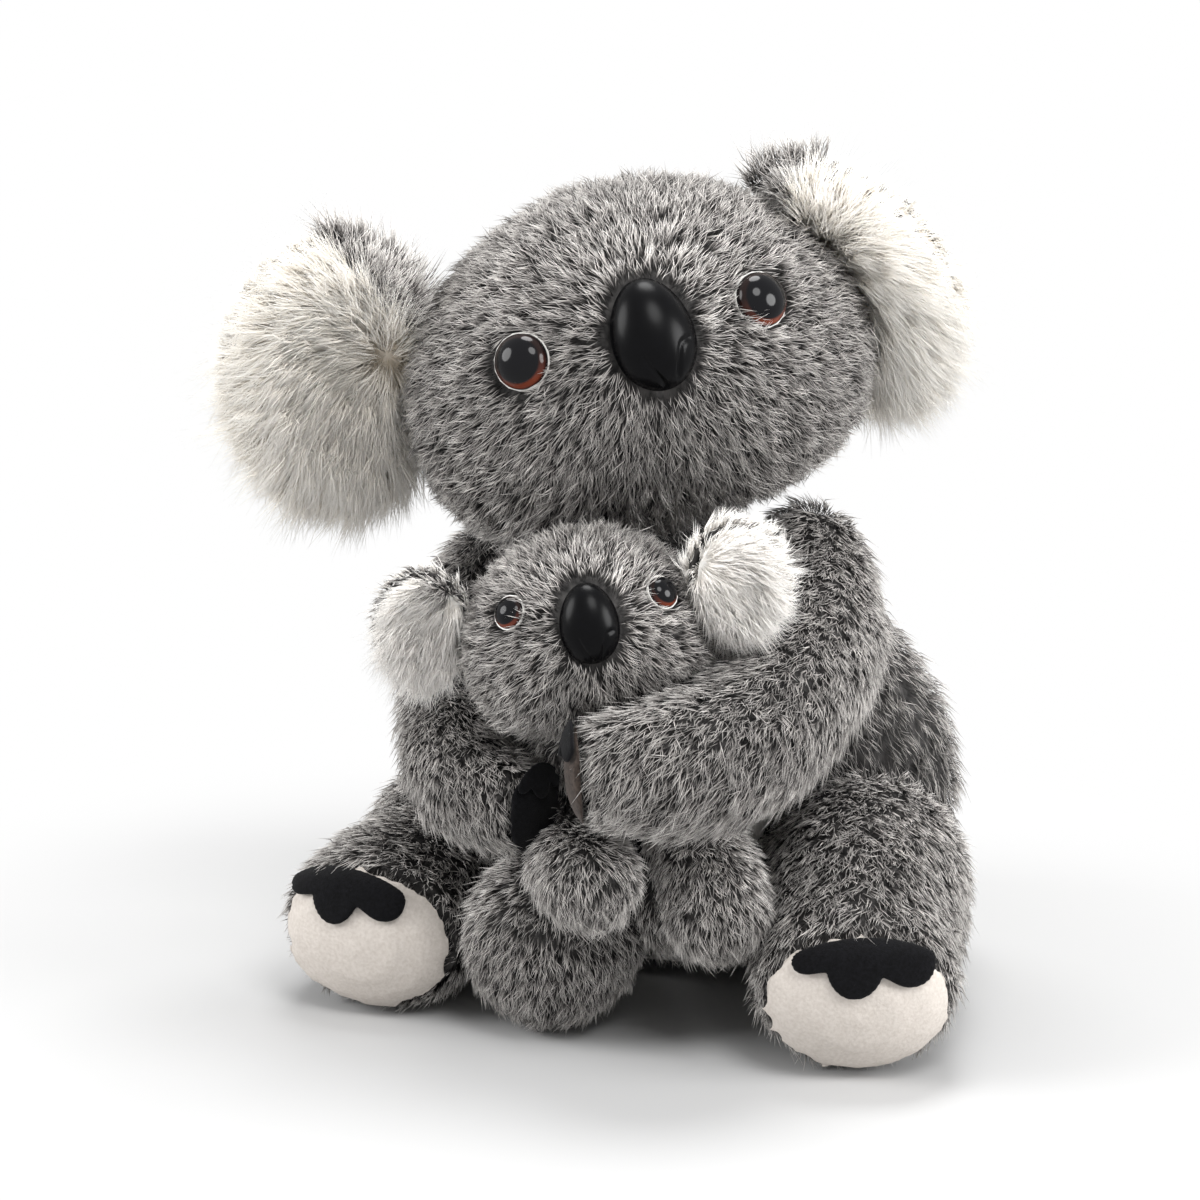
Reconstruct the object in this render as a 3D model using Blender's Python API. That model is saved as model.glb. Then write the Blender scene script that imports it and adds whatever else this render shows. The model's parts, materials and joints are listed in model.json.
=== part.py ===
import math

import bmesh
import bpy
from mathutils import Matrix, Vector

# Plush mother koala sitting and hugging her young one.
# Metres, +Z up. The mother faces -Y and sits on Z = 0, with the middle of her seat at the origin.
# Left and right are the animals' own: the mother's left is at +X.

# Sizes that all pieces share
CLEARANCE = 0.0003
FLAT_DEPTH = 0.0005
OVERRUN = 0.05
FELT_THICKNESS = 0.0016
PILE_THICKNESS = 0.0026
UP = Vector((0, 0, 1))
DOWN = Vector((0, 0, -1))
FRONT = Vector((0, -1, 0))
CREASE_ANGLE = math.radians(50)

# Mother's body
TORSO_HEIGHT = 0.128
TORSO_HALF_WIDTH = 0.094
TORSO_HALF_DEPTH = 0.054
NECK_RADIUS = 0.036
NECK_FORWARD = 0.022
NECK_SIDE = -0.006
NECK_SINK = 0.014
# Height, width, depth and lean of each ring, as shares of the sizes above
TORSO_RING_SHARES = (
    (0.00, 0.60, 0.62, 0.00),
    (0.03, 0.78, 0.80, 0.00),
    (0.12, 0.92, 0.94, 0.00),
    (0.30, 1.02, 1.00, 0.02),
    (0.50, 1.05, 0.98, 0.10),
    (0.70, 1.02, 0.92, 0.30),
    (0.88, 0.88, 0.82, 0.50),
    (1.00, 0.72, 0.75, 0.70),
    (1.09, 0.55, 0.66, 0.90),
)
TORSO_SEGMENTS = 20
NECK_DOME_ANGLES = (math.radians(30), math.radians(48), math.radians(68))
BELLY_MIDDLE_SHARE = 0.33
BELLY_HEIGHT_SHARE = 0.30
BELLY_HALF_ANGLE = math.radians(38)
BELLY_SEGMENTS = 14
BELLY_RINGS = 3

# Mother's head, turned to her left, lifted and rolled
HEAD_HALF_WIDTH = 0.077
HEAD_HALF_DEPTH = 0.060
HEAD_HALF_HEIGHT = 0.0575
HEAD_FORWARD = 0.012
HEAD_SIDE = -0.001
HEAD_TURN = math.radians(24)
HEAD_LIFT = math.radians(22)
HEAD_ROLL = math.radians(15)
CHEEK_SHARE = 0.10
JOWL_WIDTH_POWER = 0.66
JOWL_DEPTH_POWER = 0.86
HEAD_SEGMENTS = 18
HEAD_RINGS = 11

# Mother's ears
EAR_HALF_WIDTH = 0.037
EAR_HALF_HEIGHT = 0.046
EAR_DEPTH = 0.019
EAR_WALL = 0.003
EAR_DROOP = math.radians(30)
EAR_SEGMENTS = 16
EAR_FOLD = math.radians(20)
EAR_BACK_SHARE = 0.42
EAR_HINGE_SHARE = -0.6
# How far out each ring of an ear lies; on the front also how far it stands forward
EAR_BACK_RING_SHARES = (0.45, 0.78, 0.95)
EAR_HOLLOW_RING_SHARES = (0.40, 0.72)
EAR_FRONT_RING_SHARES = ((0.97, 0.32), (0.78, 0.55), (0.45, 0.30))
EAR_FRONT_MIDDLE_SHARE = 0.12
LEFT_EAR_SHARE = 0.84
LEFT_EAR_LEVEL_SHARE = 0.04
LEFT_EAR_SPREAD_SHARE = 0.66
LEFT_EAR_TURN = math.radians(-46)
RIGHT_EAR_SHARE = 0.86
RIGHT_EAR_LEVEL_SHARE = 0.39
RIGHT_EAR_SPREAD_SHARE = 0.76
RIGHT_EAR_TURN = math.radians(8)

# Mother's arms, with the hands' pads and claws
ARM_RADIUS = 0.025
LEFT_ARM_REACH = 0.125
RIGHT_ARM_REACH = 0.115
LEFT_SHOULDER_HEIGHT_SHARE = 1.094
RIGHT_SHOULDER_HEIGHT_SHARE = 0.969
SHOULDER_RADIUS = 0.021
# Past the shoulder's ball: across, forward and down as shares of the reach, and the radius as a share of
# ARM_RADIUS
LEFT_ARM_SHARES = (
    (0.11, -0.32, -0.13, 0.94),
    (0.07, -0.61, -0.23, 0.99),
    (-0.02, -0.79, -0.29, 1.02),
    (-0.15, -0.91, -0.30, 0.96),
    (-0.30, -0.97, -0.31, 0.74),
)
RIGHT_ARM_SHARES = (
    (-0.01, -0.21, -0.10, 0.82),
    (0.03, -0.42, -0.22, 0.78),
    (0.09, -0.66, -0.30, 0.79),
    (0.20, -0.84, -0.37, 0.77),
    (0.36, -0.91, -0.38, 0.66),
)
LIMB_SEGMENTS = 14
LIMB_STEPS = 2
PALM_ANGLE = math.radians(26)
SOLE_ANGLE = math.radians(15)
PAD_END_SHARE = 0.5
ROUND_END_SHARE = 0.8
START_DOME_ANGLES = (math.radians(60), math.radians(30))
PAD_DOME_ANGLES = (math.radians(44), math.radians(66))
ROUND_DOME_ANGLES = (math.radians(32), math.radians(62))
ARM_SWING = math.radians(20)
LEFT_SHOULDER_SHARE = 1.06
RIGHT_SHOULDER_SHARE = 0.79
# Claws on a hand, as shares of the palm's half width and half height
HAND_CLAWS_WIDTH_SHARE = 0.60
HAND_CLAWS_BACK_SHARE = 0.16
HAND_CLAWS_FRONT_SHARE = 0.40
HAND_CLAWS_LEVEL_SHARE = 0.68
CLAW_SAG_SHARE = 0.16
# Lobes of the claws from the animal's right: middle and half width as shares of the claws' half width, and
# length as a share of their front
CLAW_LOBE_SHARES = (
    (0.74, 0.26, 0.32),
    (0.12, 0.42, 1.00),
    (-0.58, 0.42, 0.66),
)
CLAW_SEGMENTS = 48
CLAW_RINGS = 3

# Mother's legs, with the soles and the toe claws
LEG_RADIUS = 0.035
HIP_RADIUS = 0.033
HIP_HEIGHT = HIP_RADIUS - FLAT_DEPTH
LEG_REACH = 0.083
# Past the hip's ball: across and forward as shares of the reach, then width and height as shares of
# LEG_RADIUS
LEFT_LEG_SHARES = (
    (0.10, -0.34, 1.01, 1.12),
    (0.17, -0.76, 0.94, 0.98),
    (0.26, -1.11, 0.94, 0.80),
)
RIGHT_LEG_SHARES = (
    (-0.04, -0.34, 0.94, 0.80),
    (-0.07, -0.68, 0.94, 0.81),
    (-0.09, -0.94, 0.94, 0.78),
)
LEG_SEGMENTS = 16
LEG_SWING = math.radians(12)
HIP_SHARE = 0.72
HIP_FORWARD_SHARE = 0.40
# Claws on a foot, as shares of the sole's half width and half height
TOES_BACK_SHARE = 0.22
TOES_FRONT_SHARE = 0.46
TOES_LEVEL_SHARE = 0.74
# For each foot the half width of its claws and how far they lie to one side
TOES_SHARES = {
    "left": (0.66, -0.04),
    "right": (0.62, 0.14),
}

# Young one's body and head
BABY_NECK_SIDE = -0.002
BABY_NECK_FORWARD = 0.097
BABY_NECK_HEIGHT_SHARE = 0.719
BABY_NECK_RADIUS = 0.020
BABY_NECK_SINK = 0.009
BABY_BODY_RADIUS = 0.024
BABY_BODY_LENGTH = 0.045
# Drop, width and set-back of each ring, as shares of the length and the radius
BABY_BODY_RING_SHARES = (
    (0.92, 0.55, 1.00),
    (0.72, 0.88, 0.90),
    (0.45, 1.00, 0.60),
    (0.18, 0.90, 0.25),
    (0.00, 0.74, 0.00),
)
BABY_NECK_DOME_ANGLES = (math.radians(25), math.radians(50), math.radians(70))
BABY_HEAD_HALF_WIDTH = 0.040
BABY_HEAD_HALF_DEPTH = 0.034
BABY_HEAD_HALF_HEIGHT = 0.0325
BABY_HEAD_FORWARD = 0.007
BABY_HEAD_TURN = math.radians(18)
BABY_HEAD_LIFT = math.radians(16)
BABY_HEAD_ROLL = math.radians(7)
BABY_EAR_HALF_WIDTH = 0.016
BABY_EAR_HALF_HEIGHT = 0.020
BABY_EAR_DEPTH = 0.008
BABY_EAR_WALL = 0.002
BABY_EAR_DROOP = math.radians(20)
BABY_EAR_SHARE = 0.88
BABY_LEFT_EAR_LEVEL_SHARE = 0.28
BABY_RIGHT_EAR_LEVEL_SHARE = 0.22
BABY_LEFT_EAR_FORWARD_SHARE = 0.50
BABY_LEFT_EAR_SPREAD_SHARE = 0.76
BABY_RIGHT_EAR_SPREAD_SHARE = 0.95
BABY_HEAD_SEGMENTS = 16
BABY_HEAD_RINGS = 9
BABY_HEAD_TURN_RANGE = math.radians(6)
BABY_SEGMENTS = 12

# Young one's limbs
BABY_ARM_RADIUS = 0.016
BABY_ARM_REACH = 0.040
BABY_ARM_SWINGS = {"baby_left_arm": math.radians(-6), "baby_right_arm": math.radians(6)}
BABY_LEG_RADIUS = 0.028
BABY_LEG_REACH = 0.040
# For each limb its pivot from the neck, as shares of its radius, then across, forward and down as shares
# of its reach and the radius as a share of its own
BABY_ARM_SHARES = {
    "baby_right_arm": (
        (-0.75, 0.00, -1.25),
        ((0, 0, 0, 0.82), (0.25, -0.52, -0.22, 0.95), (0.55, -0.86, -0.25, 1.00)),
    ),
    "baby_left_arm": (
        (1.50, 0.55, -1.15),
        ((0, 0, 0, 0.82), (0.40, -0.45, -0.34, 1.00), (0.57, -0.70, -0.62, 1.06)),
    ),
}
BABY_LEFT_LEG_SHARES = (
    (0.50, 0.90, -1.30),
    ((0, 0, 0, 0.56), (0.25, -0.35, -0.15, 0.64), (0.37, -0.52, -0.33, 0.64)),
)
# The right leg lies on the floor: its hip, then across, forward and lift from lying flat
BABY_RIGHT_HIP_SHARES = (-0.10, 0.80)
BABY_RIGHT_HIP_DROP_SHARE = 0.93
BABY_RIGHT_HIP_RADIUS_SHARE = 0.78
BABY_RIGHT_LEG_SHARES = ((-0.20, -0.40, 1.25), (-0.32, -0.70, 1.00))

# Eyes and noses: a cap with a stem that passes the cloth, locked by a washer inside
EYE_RADIUS = 0.0084
EYE_RISE = 0.0060
EYE_SINK_SHARE = 0.22
EYE_DOME_ANGLES = (math.radians(65), math.radians(42), math.radians(20))
BABY_EYE_RADIUS = 0.0047
BABY_EYE_RISE = 0.0036
LEFT_EYE_SHARE = 0.46
RIGHT_EYE_SHARE = 0.56
LEFT_EYE_LEVEL_SHARE = -0.01
RIGHT_EYE_LEVEL_SHARE = 0.055
BABY_EYE_SHARE = 0.60
BABY_EYE_LEVEL_SHARE = 0.27
RIM_OVERHANG = 0.0009
RIM_THICKNESS = 0.0009
STEM_RADIUS = 0.002
STEM_LENGTH = 0.009
CLOTH_THICKNESS = 0.003
WASHER_THICKNESS = 0.0015
WASHER_OVERHANG = 0.0035
WASHER_SEGMENTS = 12
NOSE_HALF_WIDTH = 0.0134
NOSE_HALF_HEIGHT = 0.0182
NOSE_SIDE_SHARE = -0.03
NOSE_LEVEL_SHARE = -0.03
NOSE_RISE = 0.0115
NOSE_TAPER_SHARE = 0.10
NOSE_BACK_SHARE = 0.94
NOSE_SINK_SHARE = 0.30
NOSE_DOME_ANGLES = (math.radians(66), math.radians(44), math.radians(24), math.radians(8))
BABY_NOSE_HALF_WIDTH = 0.0093
BABY_NOSE_HALF_HEIGHT = 0.0127
BABY_NOSE_LEVEL_SHARE = 0.07
BABY_NOSE_RISE = 0.0080
ROUND_SEGMENTS = 16


def clear_scene():
    for old in list(bpy.data.objects):
        bpy.data.objects.remove(old, do_unlink=True)


def surface_finish(name, colour, roughness, metallic=0.0):
    material = bpy.data.materials.new(name)
    material.use_nodes = True
    shader = material.node_tree.nodes["Principled BSDF"]
    shader.inputs["Base Color"].default_value = (*colour, 1)
    shader.inputs["Roughness"].default_value = roughness
    shader.inputs["Metallic"].default_value = metallic
    return material


def tipped_fur(name):
    return surface_finish(name, (0.16, 0.16, 0.16), 0.9)


def cream_pile(name):
    return surface_finish(name, (0.83, 0.79, 0.71), 0.95)


def white_pile(name):
    return surface_finish(name, (0.84, 0.82, 0.78), 0.95)


def black_felt(name):
    return surface_finish(name, (0.012, 0.012, 0.015), 0.85)


def brown_suede(name):
    return surface_finish(name, (0.09, 0.07, 0.065), 0.8)


def black_plastic(name):
    return surface_finish(name, (0.008, 0.008, 0.008), 0.3)


def eye_plastic(name):
    return surface_finish(name, (0.02, 0.01, 0.006), 0.08)


def rim_plastic(name):
    return surface_finish(name, (0.75, 0.74, 0.72), 0.3)


def washer_plastic(name):
    return surface_finish(name, (0.8, 0.8, 0.8), 0.5)


def joint_point(name, place, parent=None):
    point = bpy.data.objects.new(name, None)
    point.empty_display_size = CLEARANCE
    point.location = place
    point.parent = parent
    bpy.context.collection.objects.link(point)
    return point


def skinned(name, rings):
    # A closed mesh over rings of points; a ring of one point is a pole, and a wide end ring is closed flat.
    mesh = bpy.data.meshes.new(name)
    bm = bmesh.new()
    rows = [[bm.verts.new(point) for point in ring] for ring in rings]
    for row in (rows[0], rows[-1]):
        if len(row) > 1:
            bm.faces.new(row)
    for one, two in zip(rows, rows[1:]):
        count = max(len(one), len(two))
        for i in range(count):
            j = (i + 1) % count
            corners = []
            for vert in (one[i % len(one)], one[j % len(one)], two[j % len(two)], two[i % len(two)]):
                if vert not in corners:
                    corners.append(vert)
            bm.faces.new(corners)
    bmesh.ops.recalc_face_normals(bm, faces=bm.faces)
    bmesh.ops.triangulate(bm, faces=bm.faces)
    bm.to_mesh(mesh)
    bm.free()
    mesh.shade_smooth()
    mesh.set_sharp_from_angle(angle=CREASE_ANGLE)
    return mesh


def placed(name, mesh, finish, parent=None, location=(0, 0, 0)):
    piece = bpy.data.objects.new(name, mesh)
    piece.location = location
    piece.parent = parent
    mesh.materials.append(finish(name))
    bpy.context.collection.objects.link(piece)
    return piece


def cutter_of(name, mesh, parent, location=(0, 0, 0)):
    cutter = bpy.data.objects.new(name, mesh)
    cutter.location = location
    cutter.parent = parent
    cutter.hide_render = True
    cutter.display_type = "WIRE"
    bpy.context.collection.objects.link(cutter)
    return cutter


def grown_mesh(mesh, amount):
    # A copy whose faces all lie the given amount further out.
    bm = bmesh.new()
    bm.from_mesh(mesh)
    bm.normal_update()
    places = [vert.co + vert.normal * amount * vert.calc_shell_factor() for vert in bm.verts]
    for vert, place in zip(bm.verts, places):
        vert.co = place
    grown = bpy.data.meshes.new(mesh.name + "_grown")
    bm.to_mesh(grown)
    bm.free()
    return grown


def combine(piece, other, operation):
    # The rooms of turned pieces meet at very flat angles, which this solver bears.
    change = piece.modifiers.new(operation.lower() + "_" + other.name, "BOOLEAN")
    change.solver = "MANIFOLD"
    change.operation = operation
    change.object = other


def clear_of(piece, *cutters):
    for cutter in cutters:
        combine(piece, cutter, "DIFFERENCE")


def rooms(piece, joint=None, turns=(0,)):
    # The piece with the clearance all round, as a cutter for each turn about the joint's own upright axis.
    bpy.context.view_layer.update()
    frame = joint.matrix_world.copy() if joint else Matrix.Identity(4)
    mesh = grown_mesh(piece.data, CLEARANCE)
    cutters = []
    for turn in turns:
        cutter = cutter_of(f"{piece.name}_room", mesh, None)
        cutter.matrix_world = frame @ Matrix.Rotation(turn, 4, "Z") @ frame.inverted() @ piece.matrix_world
        cutters.append(cutter)
    return cutters


def ball_mesh(name, size, segments):
    rows = segments // 2
    rings = [[DOWN * size]]
    for row in range(1, rows):
        angle = math.pi * (row / rows - 1 / 2)
        rings.append(oval(UP * size * math.sin(angle), Vector((1, 0, 0)) * size * math.cos(angle),
                          Vector((0, 1, 0)) * size * math.cos(angle), segments))
    rings.append([UP * size])
    return skinned(name, rings)


def clearing_radius(radius, segments):
    # Radius of a ball whose flat faces all clear a ball of the given radius by the clearance.
    return (radius + CLEARANCE) / math.cos(math.pi / segments) ** 2


def ball_cutter(name, radius, segments, joint):
    return cutter_of(name, ball_mesh(name, clearing_radius(radius, segments), segments), joint)


def seat_in(carrier, limb, radius, segments, joint, swing):
    # The carrier gets a round socket, and outside it the limb is cut back from the carrier over its swing.
    reach = clearing_radius(radius, segments)
    clear_of(carrier, ball_cutter(limb.name + "_socket", reach, segments, joint))
    room, *turned_rooms = rooms(carrier, joint, (0, -swing / 2, -swing))
    for other in turned_rooms:
        combine(room, other, "UNION")
    clear_of(room, ball_cutter(limb.name + "_ball", radius, segments, joint))
    clear_of(limb, room)


def oval(middle, side, lift, segments):
    points = []
    for i in range(segments):
        angle = 2 * math.pi * i / segments
        points.append(middle + side * math.cos(angle) + lift * math.sin(angle))
    return points


def turned(name, profile, segments):
    # A profile of (radius, height) turned about Z; it starts and ends on the axis.
    rings = []
    for radius, height in profile:
        middle = UP * height
        if radius == 0:
            rings.append([middle])
        else:
            rings.append(oval(middle, Vector((radius, 0, 0)), Vector((0, radius, 0)), segments))
    return skinned(name, rings)


def turned_ring(name, profile, segments):
    # A closed profile of (radius, height) turned about Z, with the hole left open.
    mesh = bpy.data.meshes.new(name)
    bm = bmesh.new()
    rows = []
    for radius, height in profile:
        rows.append([bm.verts.new(point) for point in
                     oval(UP * height, Vector((radius, 0, 0)), Vector((0, radius, 0)), segments)])
    for one, two in zip(rows, rows[1:] + rows[:1]):
        for i in range(segments):
            j = (i + 1) % segments
            bm.faces.new((one[i], one[j], two[j], two[i]))
    bmesh.ops.recalc_face_normals(bm, faces=bm.faces)
    bm.to_mesh(mesh)
    bm.free()
    mesh.shade_smooth()
    mesh.set_sharp_from_angle(angle=CREASE_ANGLE)
    return mesh


def smooth_rows(rows, steps):
    # Rows of numbers read along a Catmull-Rom curve through the given ones.
    ends = [rows[0]] + list(rows) + [rows[-1]]
    found = []
    for before, start, stop, after in zip(ends, ends[1:], ends[2:], ends[3:]):
        for step in range(steps):
            t = step / steps
            found.append([0.5 * (2 * b + (c - a) * t + (2 * a - 5 * b + 4 * c - d) * t * t
                                 + (3 * b - a - 3 * c + d) * t * t * t)
                          for a, b, c, d in zip(before, start, stop, after)])
    found.append(list(rows[-1]))
    return found


def limb_frame(outward):
    side = outward.cross(UP).normalized()
    return side, side.cross(outward).normalized()


class Limb:
    # A stuffed tube along a path of (place, width, height), domed at its start. Its end is a dome too, or
    # it is cut off for a pad at the given angle.
    def __init__(self, path, segments, pad_angle):
        self.segments = segments
        self.rows = smooth_rows([(*place, width, height) for place, width, height in path], LIMB_STEPS)
        self.pad_angle = pad_angle
        places = [Vector(row[:3]) for row in self.rows]
        self.start_outward = (places[0] - places[1]).normalized()
        self.outward = (places[-1] - places[-2]).normalized()
        self.side, self.lift = limb_frame(self.outward)
        self.centre = places[-1]
        self.width = self.rows[-1][3]
        self.height = self.rows[-1][4]
        self.dome = self.width * (PAD_END_SHARE if pad_angle else ROUND_END_SHARE)

    def end_point(self, around, along, offset=0.0):
        # A point of the end: around is the angle from the top, along the angle past the tube's end.
        reach = self.dome + offset
        if along > 0:
            middle = self.centre + self.outward * reach * math.sin(along)
            spread = math.cos(along)
        else:
            middle = self.centre + self.outward * self.width * along
            spread = 1
        across = self.side * (self.width + offset) * math.sin(around)
        upward = self.lift * (self.height + offset) * math.cos(around)
        return middle + (across + upward) * spread

    def face_point(self, across, upward, offset):
        # A point of the pad from its place on the pad's oval, in shares of the oval's half width and height.
        along = math.acos(min(1, math.hypot(across, upward)))
        return self.end_point(math.atan2(across, upward), along, offset)

    def end_ring(self, along, offset=0.0):
        return [self.end_point(2 * math.pi * i / self.segments, along, offset) for i in range(self.segments)]

    def rings(self):
        places = [Vector(row[:3]) for row in self.rows]
        rings = []
        radius = self.rows[0][3]
        side, lift = limb_frame(-self.start_outward)
        rings.append([places[0] + self.start_outward * radius])
        for angle in START_DOME_ANGLES:
            spread = radius * math.cos(angle)
            middle = places[0] + self.start_outward * radius * math.sin(angle)
            rings.append(self.ring_at(middle, side, lift, spread, spread))
        last = len(places) - 1
        for i, (place, row) in enumerate(zip(places, self.rows)):
            ahead = (places[min(i + 1, last)] - places[max(i - 1, 0)]).normalized()
            side, lift = limb_frame(ahead)
            rings.append(self.ring_at(place, side, lift, row[3], row[4]))
        if self.pad_angle:
            rings.extend(self.end_ring(angle) for angle in (self.pad_angle / 2, self.pad_angle))
        else:
            rings.extend(self.end_ring(angle) for angle in ROUND_DOME_ANGLES)
            rings.append([self.centre + self.outward * self.dome])
        return rings

    def ring_at(self, middle, side, lift, width, height):
        points = []
        for i in range(self.segments):
            angle = 2 * math.pi * i / self.segments
            points.append(middle + side * width * math.sin(angle) + lift * height * math.cos(angle))
        return points

    def pad_rings(self):
        # The rounded pad on the flat end, one clearance in front of it.
        shift = self.outward * CLEARANCE
        angles = (self.pad_angle, *PAD_DOME_ANGLES)
        rings = [[point + shift for point in self.end_ring(angle)] for angle in angles]
        rings.append([self.centre + self.outward * self.dome + shift])
        return rings


def patch_mesh(name, surface, outline, rings, inner, outer):
    # A thin sheet that follows a surface, from a star-shaped outline of (across, along) round its middle.
    rows = [[surface(0, 0, outer)]]
    for ring in range(1, rings + 1):
        share = ring / rings
        rows.append([surface(share * across, share * along, outer) for across, along in outline])
    for ring in range(rings, 0, -1):
        share = ring / rings
        rows.append([surface(share * across, share * along, inner) for across, along in outline])
    rows.append([surface(0, 0, inner)])
    return skinned(name, rows)


def lobe_reach(across, along, middle, half_width, length):
    # How far an oval lobe reaches from the middle of the claws in one direction.
    steepness = (across / half_width) ** 2 + (along / length) ** 2
    lean = across * middle / half_width ** 2
    inside = lean ** 2 + steepness * (1 - (middle / half_width) ** 2)
    return (lean + math.sqrt(inside)) / steepness if inside > 0 else 0


def lobed_outline(half_width, back, front, points):
    # A half oval with rounded lobes along its front edge, star-shaped round its middle.
    outline = []
    for i in range(points):
        angle = 2 * math.pi * i / points
        across = math.cos(angle)
        along = math.sin(angle)
        if along < 0:
            outline.append((half_width * across, back * along))
        else:
            reach = max(lobe_reach(across, along, *lobe) for lobe in CLAW_LOBE_SHARES)
            outline.append((half_width * across * reach, front * along * reach))
    return outline


def torso_ring_at(height):
    # Middle, half width and half depth of the torso at a height.
    rows = [(h * TORSO_HEIGHT, w * TORSO_HALF_WIDTH, d * TORSO_HALF_DEPTH, lean)
            for h, w, d, lean in TORSO_RING_SHARES]
    above = [i for i, row in enumerate(rows) if row[0] >= height and i > 0]
    top = above[0] if above else len(rows) - 1
    low, high = rows[top - 1], rows[top]
    t = (height - low[0]) / (high[0] - low[0])
    width, depth, lean = (a + (b - a) * t for a, b in zip(low[1:], high[1:]))
    return Vector((NECK_SIDE * lean, -NECK_FORWARD * lean, height)), width, depth


def torso_point(angle, height, offset):
    # A point of the torso's surface; the angle is counted from the front.
    middle, width, depth = torso_ring_at(height)
    return middle + Vector((math.sin(angle) * (width + offset), -math.cos(angle) * (depth + offset), 0))


def torso_mesh():
    rings = [[Vector((0, 0, -FLAT_DEPTH))]]
    for height_share, _, _, _ in TORSO_RING_SHARES:
        height = height_share * TORSO_HEIGHT
        ring = [torso_point(2 * math.pi * i / TORSO_SEGMENTS, height, 0) for i in range(TORSO_SEGMENTS)]
        if height_share == 0:
            ring = [point - UP * FLAT_DEPTH for point in ring]
        rings.append(ring)
    rings.extend(dome_rings(neck_place(), NECK_RADIUS, NECK_DOME_ANGLES, TORSO_SEGMENTS))
    return skinned("mother_body", rings)


def flat_ring(middle, radius, segments):
    # A level round ring whose first point is at the front.
    angles = [2 * math.pi * i / segments for i in range(segments)]
    return [middle + Vector((math.sin(angle), -math.cos(angle), 0)) * radius for angle in angles]


def dome_rings(middle, radius, angles, segments):
    # The rings of the top of a ball, up to its pole.
    rings = [flat_ring(middle + UP * radius * math.sin(angle), radius * math.cos(angle), segments)
             for angle in angles]
    return rings + [[middle + UP * radius]]


def neck_place():
    return Vector((NECK_SIDE, -NECK_FORWARD, TORSO_HEIGHT))


def belly_mesh(name, inner, outer):
    # The white panel on the front of the torso, between two offsets from it.
    middle_height = TORSO_HEIGHT * BELLY_MIDDLE_SHARE
    half_height = TORSO_HEIGHT * BELLY_HEIGHT_SHARE
    outline = []
    for i in range(BELLY_SEGMENTS):
        angle = 2 * math.pi * i / BELLY_SEGMENTS
        outline.append((BELLY_HALF_ANGLE * math.cos(angle), half_height * math.sin(angle)))
    return patch_mesh(name, lambda across, along, offset: torso_point(across, middle_height + along, offset),
                      outline, BELLY_RINGS, inner, outer)


class Head:
    # A stuffed head in its own frame, with the face towards -Y.
    def __init__(self, half_width, half_depth, half_height, cheek):
        self.half_width = half_width
        self.half_depth = half_depth
        self.half_height = half_height
        self.cheek = cheek

    def point(self, around, rise):
        # The lower half is fuller, and more so across than in depth.
        level = math.sin(rise)
        width = self.half_width * (1 - self.cheek * level)
        across = width * math.cos(rise) ** (JOWL_WIDTH_POWER if rise < 0 else 1)
        depth = self.half_depth * math.cos(rise) ** (JOWL_DEPTH_POWER if rise < 0 else 1)
        return Vector((across * math.sin(around), -depth * math.cos(around), self.half_height * level))

    def mesh(self, name, segments, rows):
        rings = [[self.point(0, -math.pi / 2)]]
        for row in range(1, rows):
            rise = math.pi * (row / rows - 1 / 2)
            rings.append([self.point(2 * math.pi * i / segments, rise) for i in range(segments)])
        rings.append([self.point(0, math.pi / 2)])
        return skinned(name, rings)

    def front_at(self, across, height):
        # The surface point of the face at a place across and up, with its outward direction.
        level = height / self.half_height
        width = self.half_width * (1 - self.cheek * level)
        depth = math.sqrt(max(0, 1 - (across / width) ** 2 - level ** 2))
        place = Vector((across, -self.half_depth * depth, height))
        sizes = (width, self.half_depth, self.half_height)
        return place, Vector([along / size ** 2 for along, size in zip(place, sizes)]).normalized()


def head_object(name, mesh, joint, offset, turn, lift, roll):
    head = placed(name, mesh, tipped_fur, joint, offset)
    head.rotation_mode = "YXZ"
    head.rotation_euler = (-lift, -roll, turn)
    return head


def seat_cutter(name, parent, place, outward, rim, washer):
    # The round seat for the rim, the bore for the stem and the pocket for the washer, opened to the outside.
    seat = rim + CLEARANCE
    bore = STEM_RADIUS + CLEARANCE
    pocket = washer + CLEARANCE
    top = -CLOTH_THICKNESS
    bottom = -STEM_LENGTH - CLEARANCE
    profile = ((0, OVERRUN), (seat, OVERRUN), (seat, -CLEARANCE), (bore, -CLEARANCE), (bore, top),
               (pocket, top), (pocket, bottom), (0, bottom))
    cutter = cutter_of(name, turned(name, profile, ROUND_SEGMENTS), parent, place)
    aim(cutter, outward)
    return cutter


def aim(piece, outward):
    piece.rotation_mode = "QUATERNION"
    piece.rotation_quaternion = outward.to_track_quat("Z", "Y")


def stem_profile(start):
    # The stem below a cap whose underside is at the given height.
    return ((STEM_RADIUS, start), (STEM_RADIUS, -STEM_LENGTH), (0, -STEM_LENGTH))


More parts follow.
